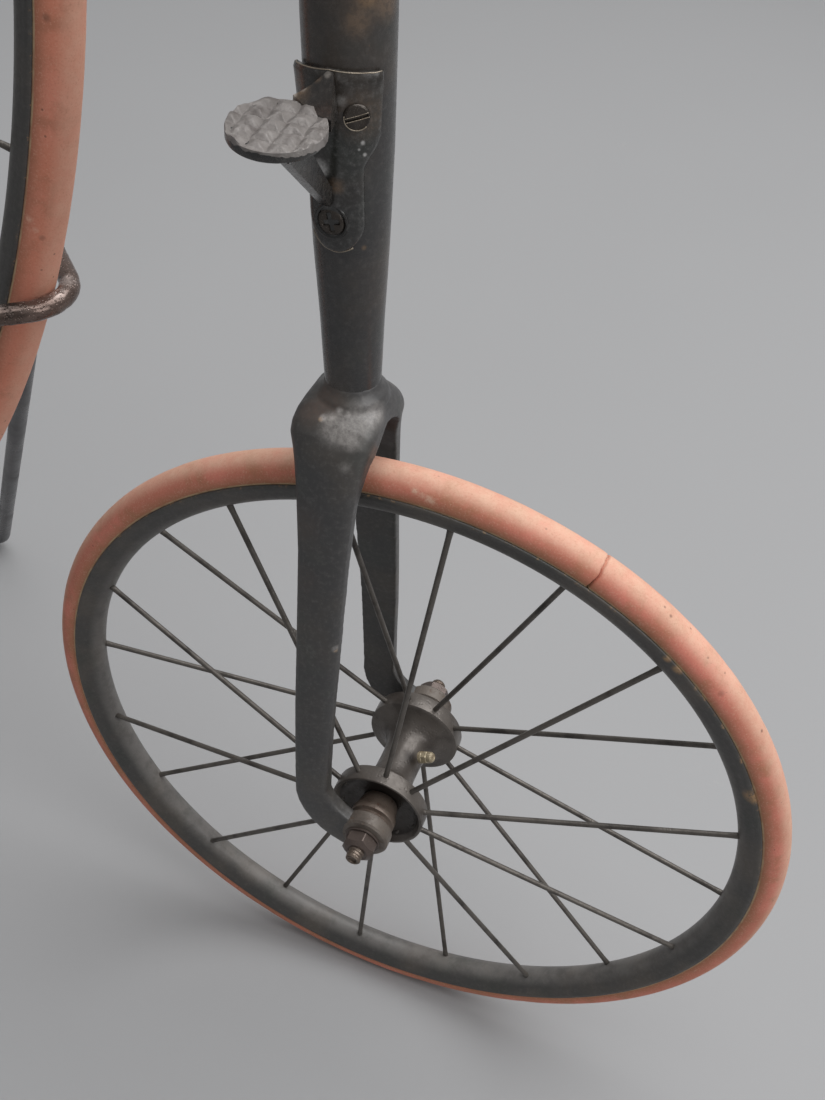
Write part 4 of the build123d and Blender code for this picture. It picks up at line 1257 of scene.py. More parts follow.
@dataclass
class Backbone:
    """Tapered backbone from the rear crown round behind the front wheel to the neck."""

    foot: tuple[float, float] = (43.1, 249.0)
    sunk: float = 4.0
    bend: tuple[float, float] = (54.3, 408.0)
    taper: tuple[tuple[float, float], ...] = (
        (245.0, 12.1), (249.0, 12.1), (287.0, 13.6), (320.5, 15.4), (360.3, 16.8), (408.0, 17.5),
    )
    radius: float = 17.5
    neck_w: float = 775.0
    neck_length: float = 42.0
    arc_steps: int = 180
    dent: float = 0.12
    sides: int = 56

    def neck_back(self) -> Vector:
        """Back of the neck, seen from the rear axle."""
        spot = Vector(FRONT_AXLE) + FORK_FRAME @ Vector((-self.neck_length, 0, self.neck_w))
        return spot - Vector(REAR_AXLE)

    def radius_at(self, height: float) -> float:
        """Radius of the tube at a height above the rear axle."""
        for (low, small), (high, large) in zip(self.taper, self.taper[1:]):
            if height <= high:
                return small + (large - small) * max(0.0, height - low) / (high - low)
        return self.radius

    def x_at(self, height: float) -> float:
        """Middle of the tube's straight run at a height above the rear axle."""
        lean = (self.bend[0] - self.foot[0]) / (self.bend[1] - self.foot[1])
        return self.foot[0] + (height - self.foot[1]) * lean

    def path(self) -> list[Vector]:
        """Middle line from the crown to the neck.

        Returns:
            Points of the line, seen from the rear axle.
        """
        levels = range(int(self.foot[1] - self.sunk), int(self.bend[1]), 3)
        line = [Vector((self.x_at(z), 0, z)) for z in levels]
        start, end = Vector((self.bend[0], self.bend[1])), self.neck_back()
        heading = (start - Vector(self.foot)).normalized()
        chord = Vector((end.x, end.z)) - start
        bend = chord.length_squared / (2 * (heading.y * chord.x - heading.x * chord.y))
        centre = start + Vector((heading.y, -heading.x)) * bend
        first = math.atan2(start.y - centre.y, start.x - centre.x)
        last = math.atan2(end.z - centre.y, end.x - centre.x)
        for step in range(self.arc_steps + 1):
            angle = first + (last - first) * step / self.arc_steps
            line.append(Vector((centre.x + bend * math.cos(angle), 0, centre.y + bend * math.sin(angle))))
        return line

    def build(self) -> None:
        """Build and dress the tube and the neck's lug."""
        path = self.path()

        def reach(number: int, angle: float) -> float:
            """Radius with the slight dents of an old drawn tube."""
            spot = path[number]
            around = Vector((math.cos(angle) * 20, math.sin(angle) * 20, 0)) + spot
            return self.radius_at(spot.z) - self.dent * max(0, Shop.wander(around, 26.0))

        piece = Form(REAR_AXLE).tube(path, reach, self.sides).made("backbone_tube", crease=60)
        enamel = WornEnamel(
            "backbone enamel", base=tint(45, 44, 44), warm=tint(60, 54, 49), green=tint(50, 51, 49), chips=0.35,
            gloss=0.24,
            stains_and_highlights=marks(
                (42, 13, 430, 17, 0.95), (36, 6, 418, 11, 0.7), (45, 15, 412, 8, 0.6), (36, -4, 268, 9, 0.3)),
            flakes=marks((41, 14, 421, 7, 0.5), (38, 12, 326, 1.6, 0.3)))
        material = enamel.make()
        Shop.fit(piece, Body.FRAME, material, "frame_enamel", ["backbone"])
        lug = Shop.eased_copy("neck_lug", "neck", 0.8)
        Shop.fit(lug, Body.FRAME, material, "frame_enamel", ["neck"])


@dataclass
class MountingStep:
    """Mounting step on the left of the backbone: strap, enamelled bracket, pyramid tread and two screws."""

    tube: Backbone
    strap_wall: float = 2.5
    strap_top: float = 395.0
    corner_drop: float = 4.0
    shoulder: float = 372.0
    waist: float = 358.0
    bottom: float = 324.5
    wide: float = 64.0
    slim: float = 12.5
    tread_top: float = 385.0
    middle: tuple[float, float] = (60.2, 45.5)
    tread_turn: float = 101.6
    tread_half: tuple[float, float] = (21.1, 17.5)
    pattern_turn: float = 7.0
    rows: float = 8.1
    columns: float = 8.0
    tooth: float = 2.1
    brace_heading: float = 92.5
    brace_half: float = 2.2
    upper_screw: tuple[float, float] = (379.7, 120.0)
    lower_screw: tuple[float, float] = (337.0, 88.0)

    def out(self, turn: float) -> Vector:
        """Level direction at a heading in degrees."""
        return Vector((math.cos(math.radians(turn)), math.sin(math.radians(turn)), 0))

    def on_tube(self, turn: float, height: float, lift: float) -> Vector:
        """Point over the tube at a heading and height, a lift above its surface."""
        return Vector((self.tube.x_at(height), 0, height)) + self.out(turn) * (self.tube.radius_at(height) + lift)

    def half_turn(self, height: float) -> float:
        """Half of the angle that the strap covers at a height.

        Args:
            height: Height above the rear axle.

        Returns:
            Angle in degrees.
        """
        radius = self.tube.radius_at(height) + self.strap_wall
        slim = math.degrees(math.asin(self.slim / radius))
        if height >= self.shoulder:
            return self.wide
        if height >= self.waist:
            share = (height - self.waist) / (self.shoulder - self.waist)
            return slim + (self.wide - slim) * share * share * (3 - 2 * share)
        if height >= self.bottom + self.slim:
            return slim
        rise = height - self.bottom - self.slim
        return math.degrees(math.asin(max(0.4, math.sqrt(max(0.0, self.slim ** 2 - rise ** 2))) / radius))

    def strap_spot(self, across: float, height: float, lift: float) -> Vector:
        """Point of the strap at a share of its width and a level, with its front corner dropped.

        Args:
            across: Share of the half width, from -1 to 1.
            height: Its level.
            lift: Lift above the tube.

        Returns:
            The point.
        """
        top = max(0.0, (height - self.shoulder) / (self.strap_top - self.shoulder))
        drop = self.corner_drop * top * max(0.0, -across)
        spread = 1.2 * top * max(0.0, abs(across) - 0.7) / 0.3
        return self.on_tube(90 + self.half_turn(height) * across, height, lift + spread) - Vector((0, 0, drop))

    def build_strap(self) -> bpy.types.Object:
        """Sheet strap bent round the tube, with a tongue that ends in a round.

        Returns:
            The strap.
        """
        heights = [self.bottom + 0.02 + self.slim * (1 - math.cos(math.pi * step / 24)) for step in range(13)]
        heights += [self.bottom + self.slim + 3 * step for step in range(1, 7)]
        heights += [self.waist + step for step in range(0, 15)]
        heights += [self.shoulder + 1.5 * step for step in range(1, 15)] + [self.strap_top]
        rings = []
        columns = 24
        for height in sorted(set(heights)):
            edge = min(height - self.bottom, self.strap_top - height)
            outer, inner = [], []
            for column in range(columns + 1):
                across = column / columns * 2 - 1
                worn = 0.3 if height < self.shoulder else 0.16
                round_off = max(0.0, abs(across) - 1 + worn) / worn
                lift = 0.1 + (self.strap_wall - 0.1) * (1 - round_off ** 2) ** 0.5
                lift *= 0.7 + 0.3 * min(1.0, edge / 1.2) ** 0.5
                outer.append(self.strap_spot(-across, height, lift))
                inner.append(self.strap_spot(-across, height, 0.05))
            rings.append(outer + inner[::-1])
        return Form(REAR_AXLE).rings(rings).made("step_strap_sheet", crease=55)

    def build_worn_edges(self) -> bpy.types.Object:
        """Burrs along the strap's top and the tongue's round end, rubbed bare.

        Returns:
            The burrs.
        """
        form = Form(REAR_AXLE)
        top = [self.strap_spot(step / 30, self.strap_top, 1.8 - 1.2 * max(0, abs(step) - 24) / 5)
               for step in range(-28, 29)]
        form.tube(top, lambda number, angle: 0.26 + 0.14 * Shop.wander(top[number], 4.0), 8)
        tongue = []
        for step in range(24):
            turn = math.radians(232 + 92 * step / 23)
            height = self.bottom + self.slim * (1 + math.sin(turn))
            radius = self.tube.radius_at(height) + self.strap_wall
            heading = 90 + math.degrees(math.asin(-self.slim * math.cos(turn) / radius))
            tongue.append(self.on_tube(heading, height, self.strap_wall * 0.72))
        form.tube(tongue, lambda number, angle: 0.26 + 0.2 * Shop.wander(tongue[number], 3.0, 2.0), 8)
        return form.made("step_strap_burr", crease=None)

    def tread_height(self, along: float, across: float) -> float:
        """Height of the tread's top under its full height: a grid of worn pyramids.

        Args:
            along: Place along the tread.
            across: Place across it.

        Returns:
            Height in millimetres, 0 or less.
        """
        turn = math.radians(self.pattern_turn - self.tread_turn)
        x = along * math.cos(turn) + across * math.sin(turn)
        y = across * math.cos(turn) - along * math.sin(turn)
        bend = 0.12 * Shop.wander(Vector((along, across, 7)), 6.0)
        row, column = y / self.rows + 0.5 + bend, x / self.columns + 0.3 + bend
        u, v = abs(column % 1.0 * 2 - 1), abs(row % 1.0 * 2 - 1)
        wear = Shop.wander(Vector((along, across, 0)), 3.4)
        peak = max(0.0, 1 - max(u, v)) * (1.35 + 0.35 * wear)
        return -self.tooth * (1 - min(0.93, peak) - 0.05 * Shop.wander(Vector((along, across, 3)), 1.4))

    def tread_spot(self, share: float, angle: float, level: float) -> Vector:
        """Point of the tread at a share of its oval, an angle and a level.

        Args:
            share: Share of the oval's size.
            angle: Angle round it.
            level: Level above the tread's top.

        Returns:
            The point.
        """
        turn = math.radians(self.tread_turn)
        along = self.tread_half[0] * share * math.cos(angle)
        across = self.tread_half[1] * share * math.sin(angle)
        return Vector((self.middle[0] + along * math.cos(turn) - across * math.sin(turn),
                       self.middle[1] + along * math.sin(turn) + across * math.cos(turn), self.tread_top + level))

    def bare_side(self, angle: float) -> float:
        """How far the tread's side is bare of enamel: most of it towards the tube, less outwards."""
        facing = max(0.0, math.cos(angle - 1.75))
        spot = Vector((math.cos(angle), math.sin(angle), 0)) * 20
        return max(1.5, 2.1 + 2.2 * facing + 0.9 * Shop.wander(spot, 2.6) + 0.3 * Shop.wander(spot, 0.9))

    def build_tread(self) -> bpy.types.Object:
        """Bare top and upper side of the oval tread, with its worn pyramids.

        Returns:
            The tread.
        """
        rings = []
        angles = [math.tau * step / 220 for step in range(220)]
        for share in [0.001] + [step / 50 for step in range(1, 50)]:
            ring = []
            for angle in angles:
                along, across = (
                    self.tread_half[0] * share * math.cos(angle), self.tread_half[1] * share * math.sin(angle))
                ease = (max(0.0, share - 0.86) / 0.14) ** 2
                level = self.tread_height(along, across) * (1 - 0.5 * ease) - 0.25 * ease
                ring.append(self.tread_spot(share, angle, level))
            rings.append(ring)
        rings.append([self.tread_spot(1.0, angle, -1.4) for angle in angles])
        for share, under in ((1.0, 0.2), (0.9, 0.4)):
            rings.append([self.tread_spot(share, angle, -self.bare_side(angle) - under) for angle in angles])
        rings.append([self.tread_spot(0.001, angle, -3.0) for angle in angles])
        return Form(REAR_AXLE).rings(rings).made("step_tread_plate", crease=32)

    def build_bracket(self) -> bpy.types.Object:
        """Enamelled underside of the tread, with the neck to the strap and the slim brace.

        Returns:
            The bracket.
        """
        form = Form(REAR_AXLE)
        angles = [math.tau * step / 160 for step in range(160)]
        rings = [[self.tread_spot(0.001, angle, -2.9) for angle in angles],
                 [self.tread_spot(0.9, angle, -self.bare_side(angle) - 0.2) for angle in angles],
                 [self.tread_spot(0.997, angle, -self.bare_side(angle)) for angle in angles]]
        for share, level in ((1.0, -4.3), (0.985, -5.0), (0.96, -5.4), (0.9, -5.5), (0.001, -5.5)):
            rings.append([self.tread_spot(share, angle, level) for angle in angles])
        form.rings(rings)
        self.add_neck(form)
        self.add_brace(form)
        return form.made("step_bracket_forging", crease=26)

    def add_neck(self, form: Form) -> None:
        """Web from a narrow ridge at the strap's top, fanning out to the tread's inner edge.

        Args:
            form: Form that takes it.
        """
        ridge = (Vector((53.3, 19.9, 394.9)), Vector((50.9, 20.1, 394.9)))
        fan = (Vector((64.6, 23.3, 384.9)), Vector((45.0, 34.4, 384.6)))
        rings = []
        for step in range(13):
            share = step / 12
            left = ridge[0].lerp(fan[0], share)
            right = ridge[1].lerp(fan[1], share)
            sag = 1.8 * math.sin(math.pi * share)
            left.z -= 0.5 * sag
            right.z -= sag
            low_left, low_right = left.copy(), right.copy()
            low_left.z = low_right.z = 379.7 + 0.6 * (1 - share)
            low_left.x += 2.0 * (1 - share)
            low_right.x -= 2.5 * (1 - share)
            top = [left.lerp(right, part / 8) - Vector((0, 0, 1.3 * math.sin(math.pi * part / 8) * share))
                   for part in range(9)]
            rings.append(top + [low_right.lerp(low_left, part / 8) for part in range(9)])
        form.rings(rings)

    def add_brace(self, form: Form) -> None:
        """Slim slanting plate from under the tread down to the strap, clear of the tube between them.

        Args:
            form: Form that takes it.
        """
        out = self.out(self.brace_heading)
        side = Vector((-out.y, out.x, 0))
        base = Vector((self.tube.x_at(385), 0, 0))
        outline = ((60.6, 380.2), (47.0, 380.0), (44.6, 378.4), (20.6, 352.6), (17.2, 351.2), (17.2, 344.2),
                   (20.0, 344.0), (61.4, 379.4))
        centre = Vector((36.0, 0, 366.0))
        rings = []
        for across, shrink in (
            (-self.brace_half, 0.5), (0.5 - self.brace_half, 0.0), (self.brace_half - 0.5, 0.0),
            (self.brace_half, 0.5)):
            ring = []
            for reach, level in outline:
                point = Vector((reach, 0, level))
                inward = (centre - point).normalized() * shrink
                ring.append(base + out * (reach + inward.x) + side * across + Vector((0, 0, level + inward.z)))
            rings.append(ring)
        form.rings(rings)

    def screw(self, form: Form, place: tuple[float, float], radius: float, sunk: float, cross: bool) -> None:
        """Screw head with a slot or a cross recess.

        Args:
            form: Form that takes it.
            place: Height above the rear axle, and heading in degrees.
            radius: Radius of its head.
            sunk: How far its face lies under a plain head.
            cross: True for a cross recess.
        """
        height, turn = place
        out = self.out(turn)
        side, up = Vector((-out.y, out.x, 0)), Vector((0, 0, 1))
        foot = self.on_tube(turn, height, self.strap_wall - 0.6)
        rings = []
        around = 120
        for share, rise in ((1.0, -0.4), (1.0, 1.1), (0.97, 1.5), (0.92, 1.75), (0.84, 1.9)):
            rings.append([foot + self.face(side, up, share * radius, math.tau * step / around) + out * (rise - sunk)
                          for step in range(around)])
        for layer in range(1, 27):
            share = 0.84 * (1 - layer / 26.5)
            ring = []
            for step in range(around):
                angle = math.tau * step / around
                spot = self.face(side, up, share * radius, angle)
                x, y = share * radius * math.cos(angle - 0.3), share * radius * math.sin(angle - 0.3)
                gap = min(abs(x), abs(y)) if cross else abs(y)
                deep = 1.7 * max(0.0, 1 - share / 0.72) ** 0.5 if cross else 0.8
                cut = deep if gap < (1.05 if cross else 0.8) else 0.0
                ring.append(foot + spot + out * (1.9 + 0.3 * (1 - share) - cut - sunk))
            rings.append(ring)
        form.rings(rings)

    @staticmethod
    def face(side: Vector, up: Vector, reach: float, angle: float) -> Vector:
        """Offset in a screw's face."""
        return side * (reach * math.cos(angle)) + up * (reach * math.sin(angle))

    def build_bright_bits(self) -> bpy.types.Object:
        """Bare metal of the upper screw: its scraped slot and the low edge of its head.

        Returns:
            The bare metal.
        """
        height, turn = self.upper_screw
        out = self.out(turn)
        side, up = Vector((-out.y, out.x, 0)), Vector((0, 0, 1))
        foot = self.on_tube(turn, height, self.strap_wall - 0.6)
        form = Form(REAR_AXLE)
        for edge in (-0.8, 0.8):
            slot = [foot + self.face(side, up, 4.4 * step / 12, 0.3) + self.face(side, up, edge, 0.3 + math.pi / 2)
                    + out * (1.78 - 0.02 * abs(step)) for step in range(-12, 13)]
            form.tube(slot, 0.17, 8)
        rim = [foot + self.face(side, up, 4.75, math.radians(angle)) + out * 1.45 for angle in range(175, 325, 6)]
        form.tube(rim, lambda number, angle: 0.2 + 0.12 * Shop.wander(rim[number], 2.0), 8)
        return form.made("step_screw_bare_metal", crease=None)

    def build_cup(self) -> bpy.types.Object:
        """Raised dark rim of the countersink round the lower screw.

        Returns:
            The rim.
        """
        height, turn = self.lower_screw
        foot = self.on_tube(turn, height, self.strap_wall - 0.5)
        form = Form(REAR_AXLE)
        form.turned(
            [(0.0, 5.5), (0.0, 7.2), (0.55, 7.0), (0.75, 6.6), (0.55, 6.1), (0.1, 5.6)], 72, foot, self.out(turn))
        return form.made("step_screw_cup", crease=40)

    def build(self) -> None:
        """Build and dress every piece of the step."""
        sheet = WornEnamel(
            "strap enamel", base=tint(40, 39, 38), warm=tint(54, 48, 43), chips=0.2, gloss=0.2,
            rubbed=tint(206, 204, 202),
            # The large white mark is a painted reflection and the three small ones are painted glints; the two
            # faint ones are pale patches.
            rubs_and_highlights=marks(
                (54.8, 18.8, 358, 4.8, 1.0), (40.1, 15.6, 370, 1.2, 0.9), (39.2, 15.1, 365.5, 1.1, 0.9),
                (41.2, 16.2, 367.5, 0.8, 0.7), (48, 19.1, 385, 3.0, 0.25), (66.5, 12, 392, 3.0, 0.3)),
            stains_and_highlights=marks((48.2, 18.9, 352.5, 4.5, 0.8), (42, 14.5, 380, 13, 0.4), (66, 12, 386, 7, 0.4)))
        Shop.fit(self.build_strap(), Body.FRAME, sheet.make(), "frame_enamel", ["step_strap"])
        bracket = WornEnamel(
            "bracket enamel", base=tint(36, 35, 35), warm=tint(44, 40, 37), chips=0.2, gloss=0.24,
            rubbed=tint(178, 170, 162),
            # These pale marks and the brown stains below paint a highlight along the lit ridge of the neck.
            rubs_and_highlights=marks((64.8, 23.2, 385, 2.8, 1.0), (61.5, 22, 388, 2.2, 0.9), (53, 20.4, 394, 2.0, 0.8)),
            stains_and_highlights=marks((62, 21.6, 388.4, 4.0, 0.9), (65, 21.5, 385, 10, 0.7), (57, 20.6, 392.4, 3.0, 0.8)))
        Shop.fit(self.build_bracket(), Body.FRAME, bracket.make(), "frame_enamel", ["step_tread"])
        steel = OldSteel("step steel", steel=tint(122, 117, 114), stain=tint(88, 82, 79), rust=tint(104, 90, 80),
                         pale=tint(158, 152, 148), rusted=0.2, stained=0.55, rough=0.5, metal=0.1, grain=2.0)
        Shop.fit(self.build_tread(), Body.FRAME, steel.make(), "step_steel", ["step_tread"])
        form = Form(REAR_AXLE)
        self.screw(form, self.upper_screw, 5.0, 0.3, False)
        self.screw(form, self.lower_screw, 5.5, 1.0, True)
        bolts = OldSteel("screw steel", steel=tint(64, 58, 53), stain=tint(42, 37, 34), rust=tint(74, 54, 42),
                         pale=tint(150, 140, 128), rusted=0.3, rough=0.24, metal=0.5, grain=1.6)
        Shop.fit(form.made("step_screw_heads", crease=30), Body.FRAME, bolts.make(), "bolt_steel", ["step_screws"])
        bare = OldSteel(
            "bare edge steel", steel=tint(150, 139, 124), stain=tint(112, 97, 82), rust=tint(108, 82, 60),
            pale=tint(200, 192, 180), rusted=0.4, stained=0.4, rough=0.34, metal=0.4, grain=1.5).make()
        Shop.fit(self.build_bright_bits(), Body.FRAME, bare, "bolt_steel")
        Shop.fit(self.build_worn_edges(), Body.FRAME, bare, "frame_enamel")
        # The cup is a raised rim, and its near-black enamel is painted shade of the deep countersink round the
        # lower screw.
        cup = WornEnamel("cup enamel", base=tint(22, 21, 20), warm=tint(34, 30, 27), chips=0.1, gloss=0.2)
        Shop.fit(self.build_cup(), Body.FRAME, cup.make(), "frame_enamel")


@dataclass
class Stand:
    """Wheel stand of bent rod: a loop round the back of the tyre, two legs and a floor frame."""

    rod: float = 5.0
    leg: float = 6.0
    loop_height: float = 466.0
    clearance: float = 0.4
    bend: float = 22.4
    arm_angle: float = 43.7
    wheel: float = 685.8
    shoulder_y: float = 50.6
    leg_run: float = 221.4
    foot_y: float = 232.4
    floor_run: float = 723.3
    front_y: float = 205.0
    weld_share: float = 0.13

    def corner(self) -> Vector:
        """Corner at the back of the loop."""
        reach = self.wheel + self.clearance + self.rod
        back = FRONT_AXLE[0] - math.sqrt(reach ** 2 - (self.loop_height - self.wheel) ** 2)
        return Vector((back - self.bend * (1 / math.sin(math.radians(self.arm_angle)) - 1), 0, self.loop_height))

    def corners(self, side: int) -> tuple[Vector, Vector, Vector, Vector]:
        """Shoulder, foot and front corner of one side, and the weld below its shoulder.

        Args:
            side: 1 for left, -1 for right.

        Returns:
            The four points.
        """
        run = self.shoulder_y / math.tan(math.radians(self.arm_angle))
        shoulder = self.corner() + Vector((run, side * self.shoulder_y, 0))
        foot = Vector((shoulder.x + self.leg_run, side * self.foot_y, self.leg))
        front = Vector((foot.x + self.floor_run, side * self.front_y, self.leg))
        return shoulder, foot, front, shoulder.lerp(foot, self.weld_share)

    def build(self) -> None:
        """Build and dress the loop and both rails."""
        left, right = self.corners(1), self.corners(-1)
        points = [right[3], right[0], self.corner(), left[0], left[3]]
        path = Shop.bend(points, [16, self.bend, 16], 1.2)

        def pitted(number: int, angle: float) -> float:
            """Radius of the pitted rod."""
            spot = path[number] + Vector((math.cos(angle), math.sin(angle), 0)) * 5
            scab = max(0.0, Shop.wander(spot, 4.2)) + 0.5 * max(0.0, Shop.wander(spot, 1.7, 5))
            return self.rod - 0.42 * scab

        loop = Form().tube(path, pitted, 28).made("stand_loop_rod", crease=None)
        back = self.corner().x + 12
        plated = OldSteel(
            "pitted plating", steel=tint(104, 88, 81), stain=tint(56, 46, 41), rust=tint(74, 56, 48),
            pale=tint(226, 210, 203), rusted=0.7, stained=0.7, rough=0.24, metal=0.6, grain=3.6, pitted=0.35,
            # Painted glints in the pinkish-white pale colour along the top of the loop.
            lights=tuple(
                Mark((back + 9 * step, y, self.loop_height + 4.6), 7, 0.55)
                for step, y in ((0, 3), (1, 12), (2, 24), (3, 33), (0, -8))))
        Shop.fit(loop, Body.FORK, plated.make(), "stand_steel", ["stand_loop"])
        smooth = OldSteel(
            "stand rod steel", steel=tint(72, 71, 73), stain=tint(64, 63, 65), rust=tint(66, 62, 61),
            pale=tint(84, 83, 85), rusted=0.1, stained=0.4, rough=0.34, metal=0.2, grain=26.0, pitted=0.02)
        material = smooth.make()
        for label, side in (("left", 1), ("right", -1)):
            _, foot, front, weld = self.corners(side)
            run = Shop.bend([weld, foot, front, Vector((front.x, 0, front.z))], [30, 60], 5.0)
            rail = Form().tube(run, self.leg, 24).made(f"stand_rail_{label}_rod", crease=60)
            Shop.fit(rail, Body.FORK, material, "stand_steel", [f"stand_rail_{label}"])


@dataclass
class FrontEnd:
    """Front fork, steering head, handlebar with grips, and the spoon brake."""

    bar: float = 9.0
    bar_forward: float = 32.0
    bar_w: float = 776.0
    shoulder: float = 75.0
    reach: tuple[float, float, float] = (28.0, 236.0, 30.0)
    end: tuple[float, float, float] = (80.0, 322.0, 82.0)
    grip_length: float = 80.0
    grip_overhang: float = 4.0
    grip: tuple[tuple[float, float], ...] = (
        (0.0, 9.8), (0.02, 11.4), (0.08, 13.6), (0.2, 15.8), (0.3, 15.9), (0.31, 15.3), (0.325, 15.3),
        (0.335, 15.8),
        (0.45, 15.1), (0.62, 13.2), (0.78, 11.6), (0.86, 11.3), (0.865, 10.7), (0.885, 10.7), (0.89, 11.6),
        (0.95, 12.5), (0.99, 12.2), (1.0, 11.4),
    )

    def bar_side(self, side: int) -> tuple[Vector, Vector, Vector]:
        """Corners of one half of the handlebar."""
        return (
            Vector((self.bar_forward, side * self.shoulder, self.bar_w)),
            Vector((self.bar_forward - self.reach[0], side * self.reach[1], self.bar_w - self.reach[2])),
            Vector((self.bar_forward - self.end[0], side * self.end[1], self.bar_w - self.end[2])),
        )

    def build(self) -> None:
        """Build and dress every piece of the front end."""
        enamel = WornEnamel("front enamel", base=tint(48, 47, 45), warm=tint(68, 60, 52), chips=0.3).make()
        nickel = OldSteel(
            "dull nickel", steel=tint(150, 144, 134), stain=tint(104, 94, 82), rust=tint(112, 80, 56),
            pale=tint(198, 192, 182), rusted=0.25, stained=0.5, rough=0.28, metal=0.85, grain=5.0)
        metal = nickel.make()
        for node, grain in (("front_fork", 1.15), ("head", 0.75)):
            piece = Shop.eased_copy(f"{node}_forging", node, grain, 5)
            Shop.fit(piece, Body.FORK, enamel, "frame_enamel", [node])
        for node in ("brake_spoon", "brake_lever"):
            piece = Shop.eased_copy(f"{node}_forging", node, 0.7, 3)
            Shop.fit(piece, Body.FORK, metal, "bar_steel", [node])
        path = Shop.bend([*reversed(self.bar_side(-1)), *self.bar_side(1)], [60, 60, 60, 60], 4.0)
        bar = Form(FRONT_AXLE).tube(path, self.bar, 32).moved(FORK_FRAME).made("handlebar_tube", crease=60)
        Shop.fit(bar, Body.FORK, metal, "bar_steel", ["handlebar"])
        wood = TurnedWood("dark turned wood").make()
        for label, side in (("left", 1), ("right", -1)):
            _, reach, end = self.bar_side(side)
            inward = (reach - end).normalized()
            start = end - inward * self.grip_overhang
            bore = self.bar + 0.05
            profile = [(0.0, 0.5)] + [(share * self.grip_length, radius) for share, radius in self.grip]
            profile += [
                (self.grip_length, bore), (self.grip_overhang + 0.05, bore), (self.grip_overhang + 0.05, 0.5)]
            form = Form(FRONT_AXLE).turned(profile, 64, start, inward).moved(FORK_FRAME)
            Shop.fit(form.made(f"grip_{label}_wood", crease=30), Body.FORK, wood, "grip_wood", [f"grip_{label}"])


@dataclass
class Drive:
    """Cranks and rubber block pedals on the front axle."""

    crank_length: float = 140.0
    pedal_start: float = 94.5
    pedal_width: float = 88.0
    plate: float = 3.0
    block: float = 24.0
    offset: float = 28.0
    ribs: int = 4

    def block_ring(self, along: float, shrink: float) -> list[Vector]:
        """Section of a ribbed rubber block, drawn round its own middle.

        Args:
            along: Place along the pedal.
            shrink: Share of the full size.

        Returns:
            Points of the section.
        """
        half = self.block / 2
        points = []
        for face in range(4):
            turn = math.radians(90 * face)
            for step in range(self.ribs * 6):
                share = (step + 0.5) / (self.ribs * 6)
                x = (share * 2 - 1) * (half - 1.2)
                groove = 1.1 * max(0.0, math.cos(share * self.ribs * math.tau)) ** 1.5
                y = half - groove if 0.04 < share < 0.96 else half - 0.5
                x, y = x * shrink, y * shrink
                points.append(Vector((x * math.cos(turn) + y * math.sin(turn), along,
                                      y * math.cos(turn) - x * math.sin(turn))))
        return points

    def build(self) -> None:
        """Build and dress cranks, pins, pedal frames and rubbers."""
        steel = OldSteel("crank steel", steel=tint(138, 130, 120), stain=tint(92, 80, 70), rust=tint(110, 76, 54),
                         pale=tint(188, 180, 168), rusted=0.3, rough=0.32, metal=0.85, grain=5.0).make()
        rubber = AgedRubber(
            "pedal rubber", FRONT_AXLE, 10.0, 1.0, 1.0, base=tint(70, 58, 52), rosy=tint(76, 64, 58),
            beige=tint(104, 94, 88), brown=tint(54, 44, 38), grime=tint(30, 26, 24), glue=tint(60, 50, 44)).make()
        for label, side, body in (("left", 1, Body.PEDAL_LEFT), ("right", -1, Body.PEDAL_RIGHT)):
            arm = Shop.eased_copy(f"crank_{label}_forging", f"crank_{label}", 0.7, 4)
            Shop.fit(arm, Body.FRONT_WHEEL, steel, "crank_steel", [f"crank_{label}"])
            pin = Shop.eased_copy(f"pedal_pin_{label}_rod", f"pedal_pin_{label}", 0.5, 2)
            Shop.fit(pin, Body.FRONT_WHEEL, steel, "bolt_steel", [f"pedal_pin_{label}"])
            cage = Shop.eased_copy(f"pedal_frame_{label}_plates", f"pedal_frame_{label}", 0.6, 2)
            Shop.fit(cage, body, steel, "crank_steel", [f"pedal_frame_{label}"])
            form = Form(FRONT_AXLE)
            start = self.pedal_start + self.plate
            length = self.pedal_width - 2 * self.plate
            for offset in (-self.offset, self.offset):
                place = Vector((offset, 0, -side * self.crank_length))
                stops = ((0.0, 0.93), (0.9, 0.985), (2.0, 1.0), (length - 2.0, 1.0), (length - 0.9, 0.985),
                         (length, 0.93))
                rings = [[point + place for point in self.block_ring(side * (start + along), shrink)]
                         for along, shrink in stops]
                form.rings(rings)
            Shop.fit(form.made(f"pedal_rubbers_{label}_blocks", crease=40), body, rubber, "pedal_rubber",
                     [f"pedal_rubbers_{label}"])


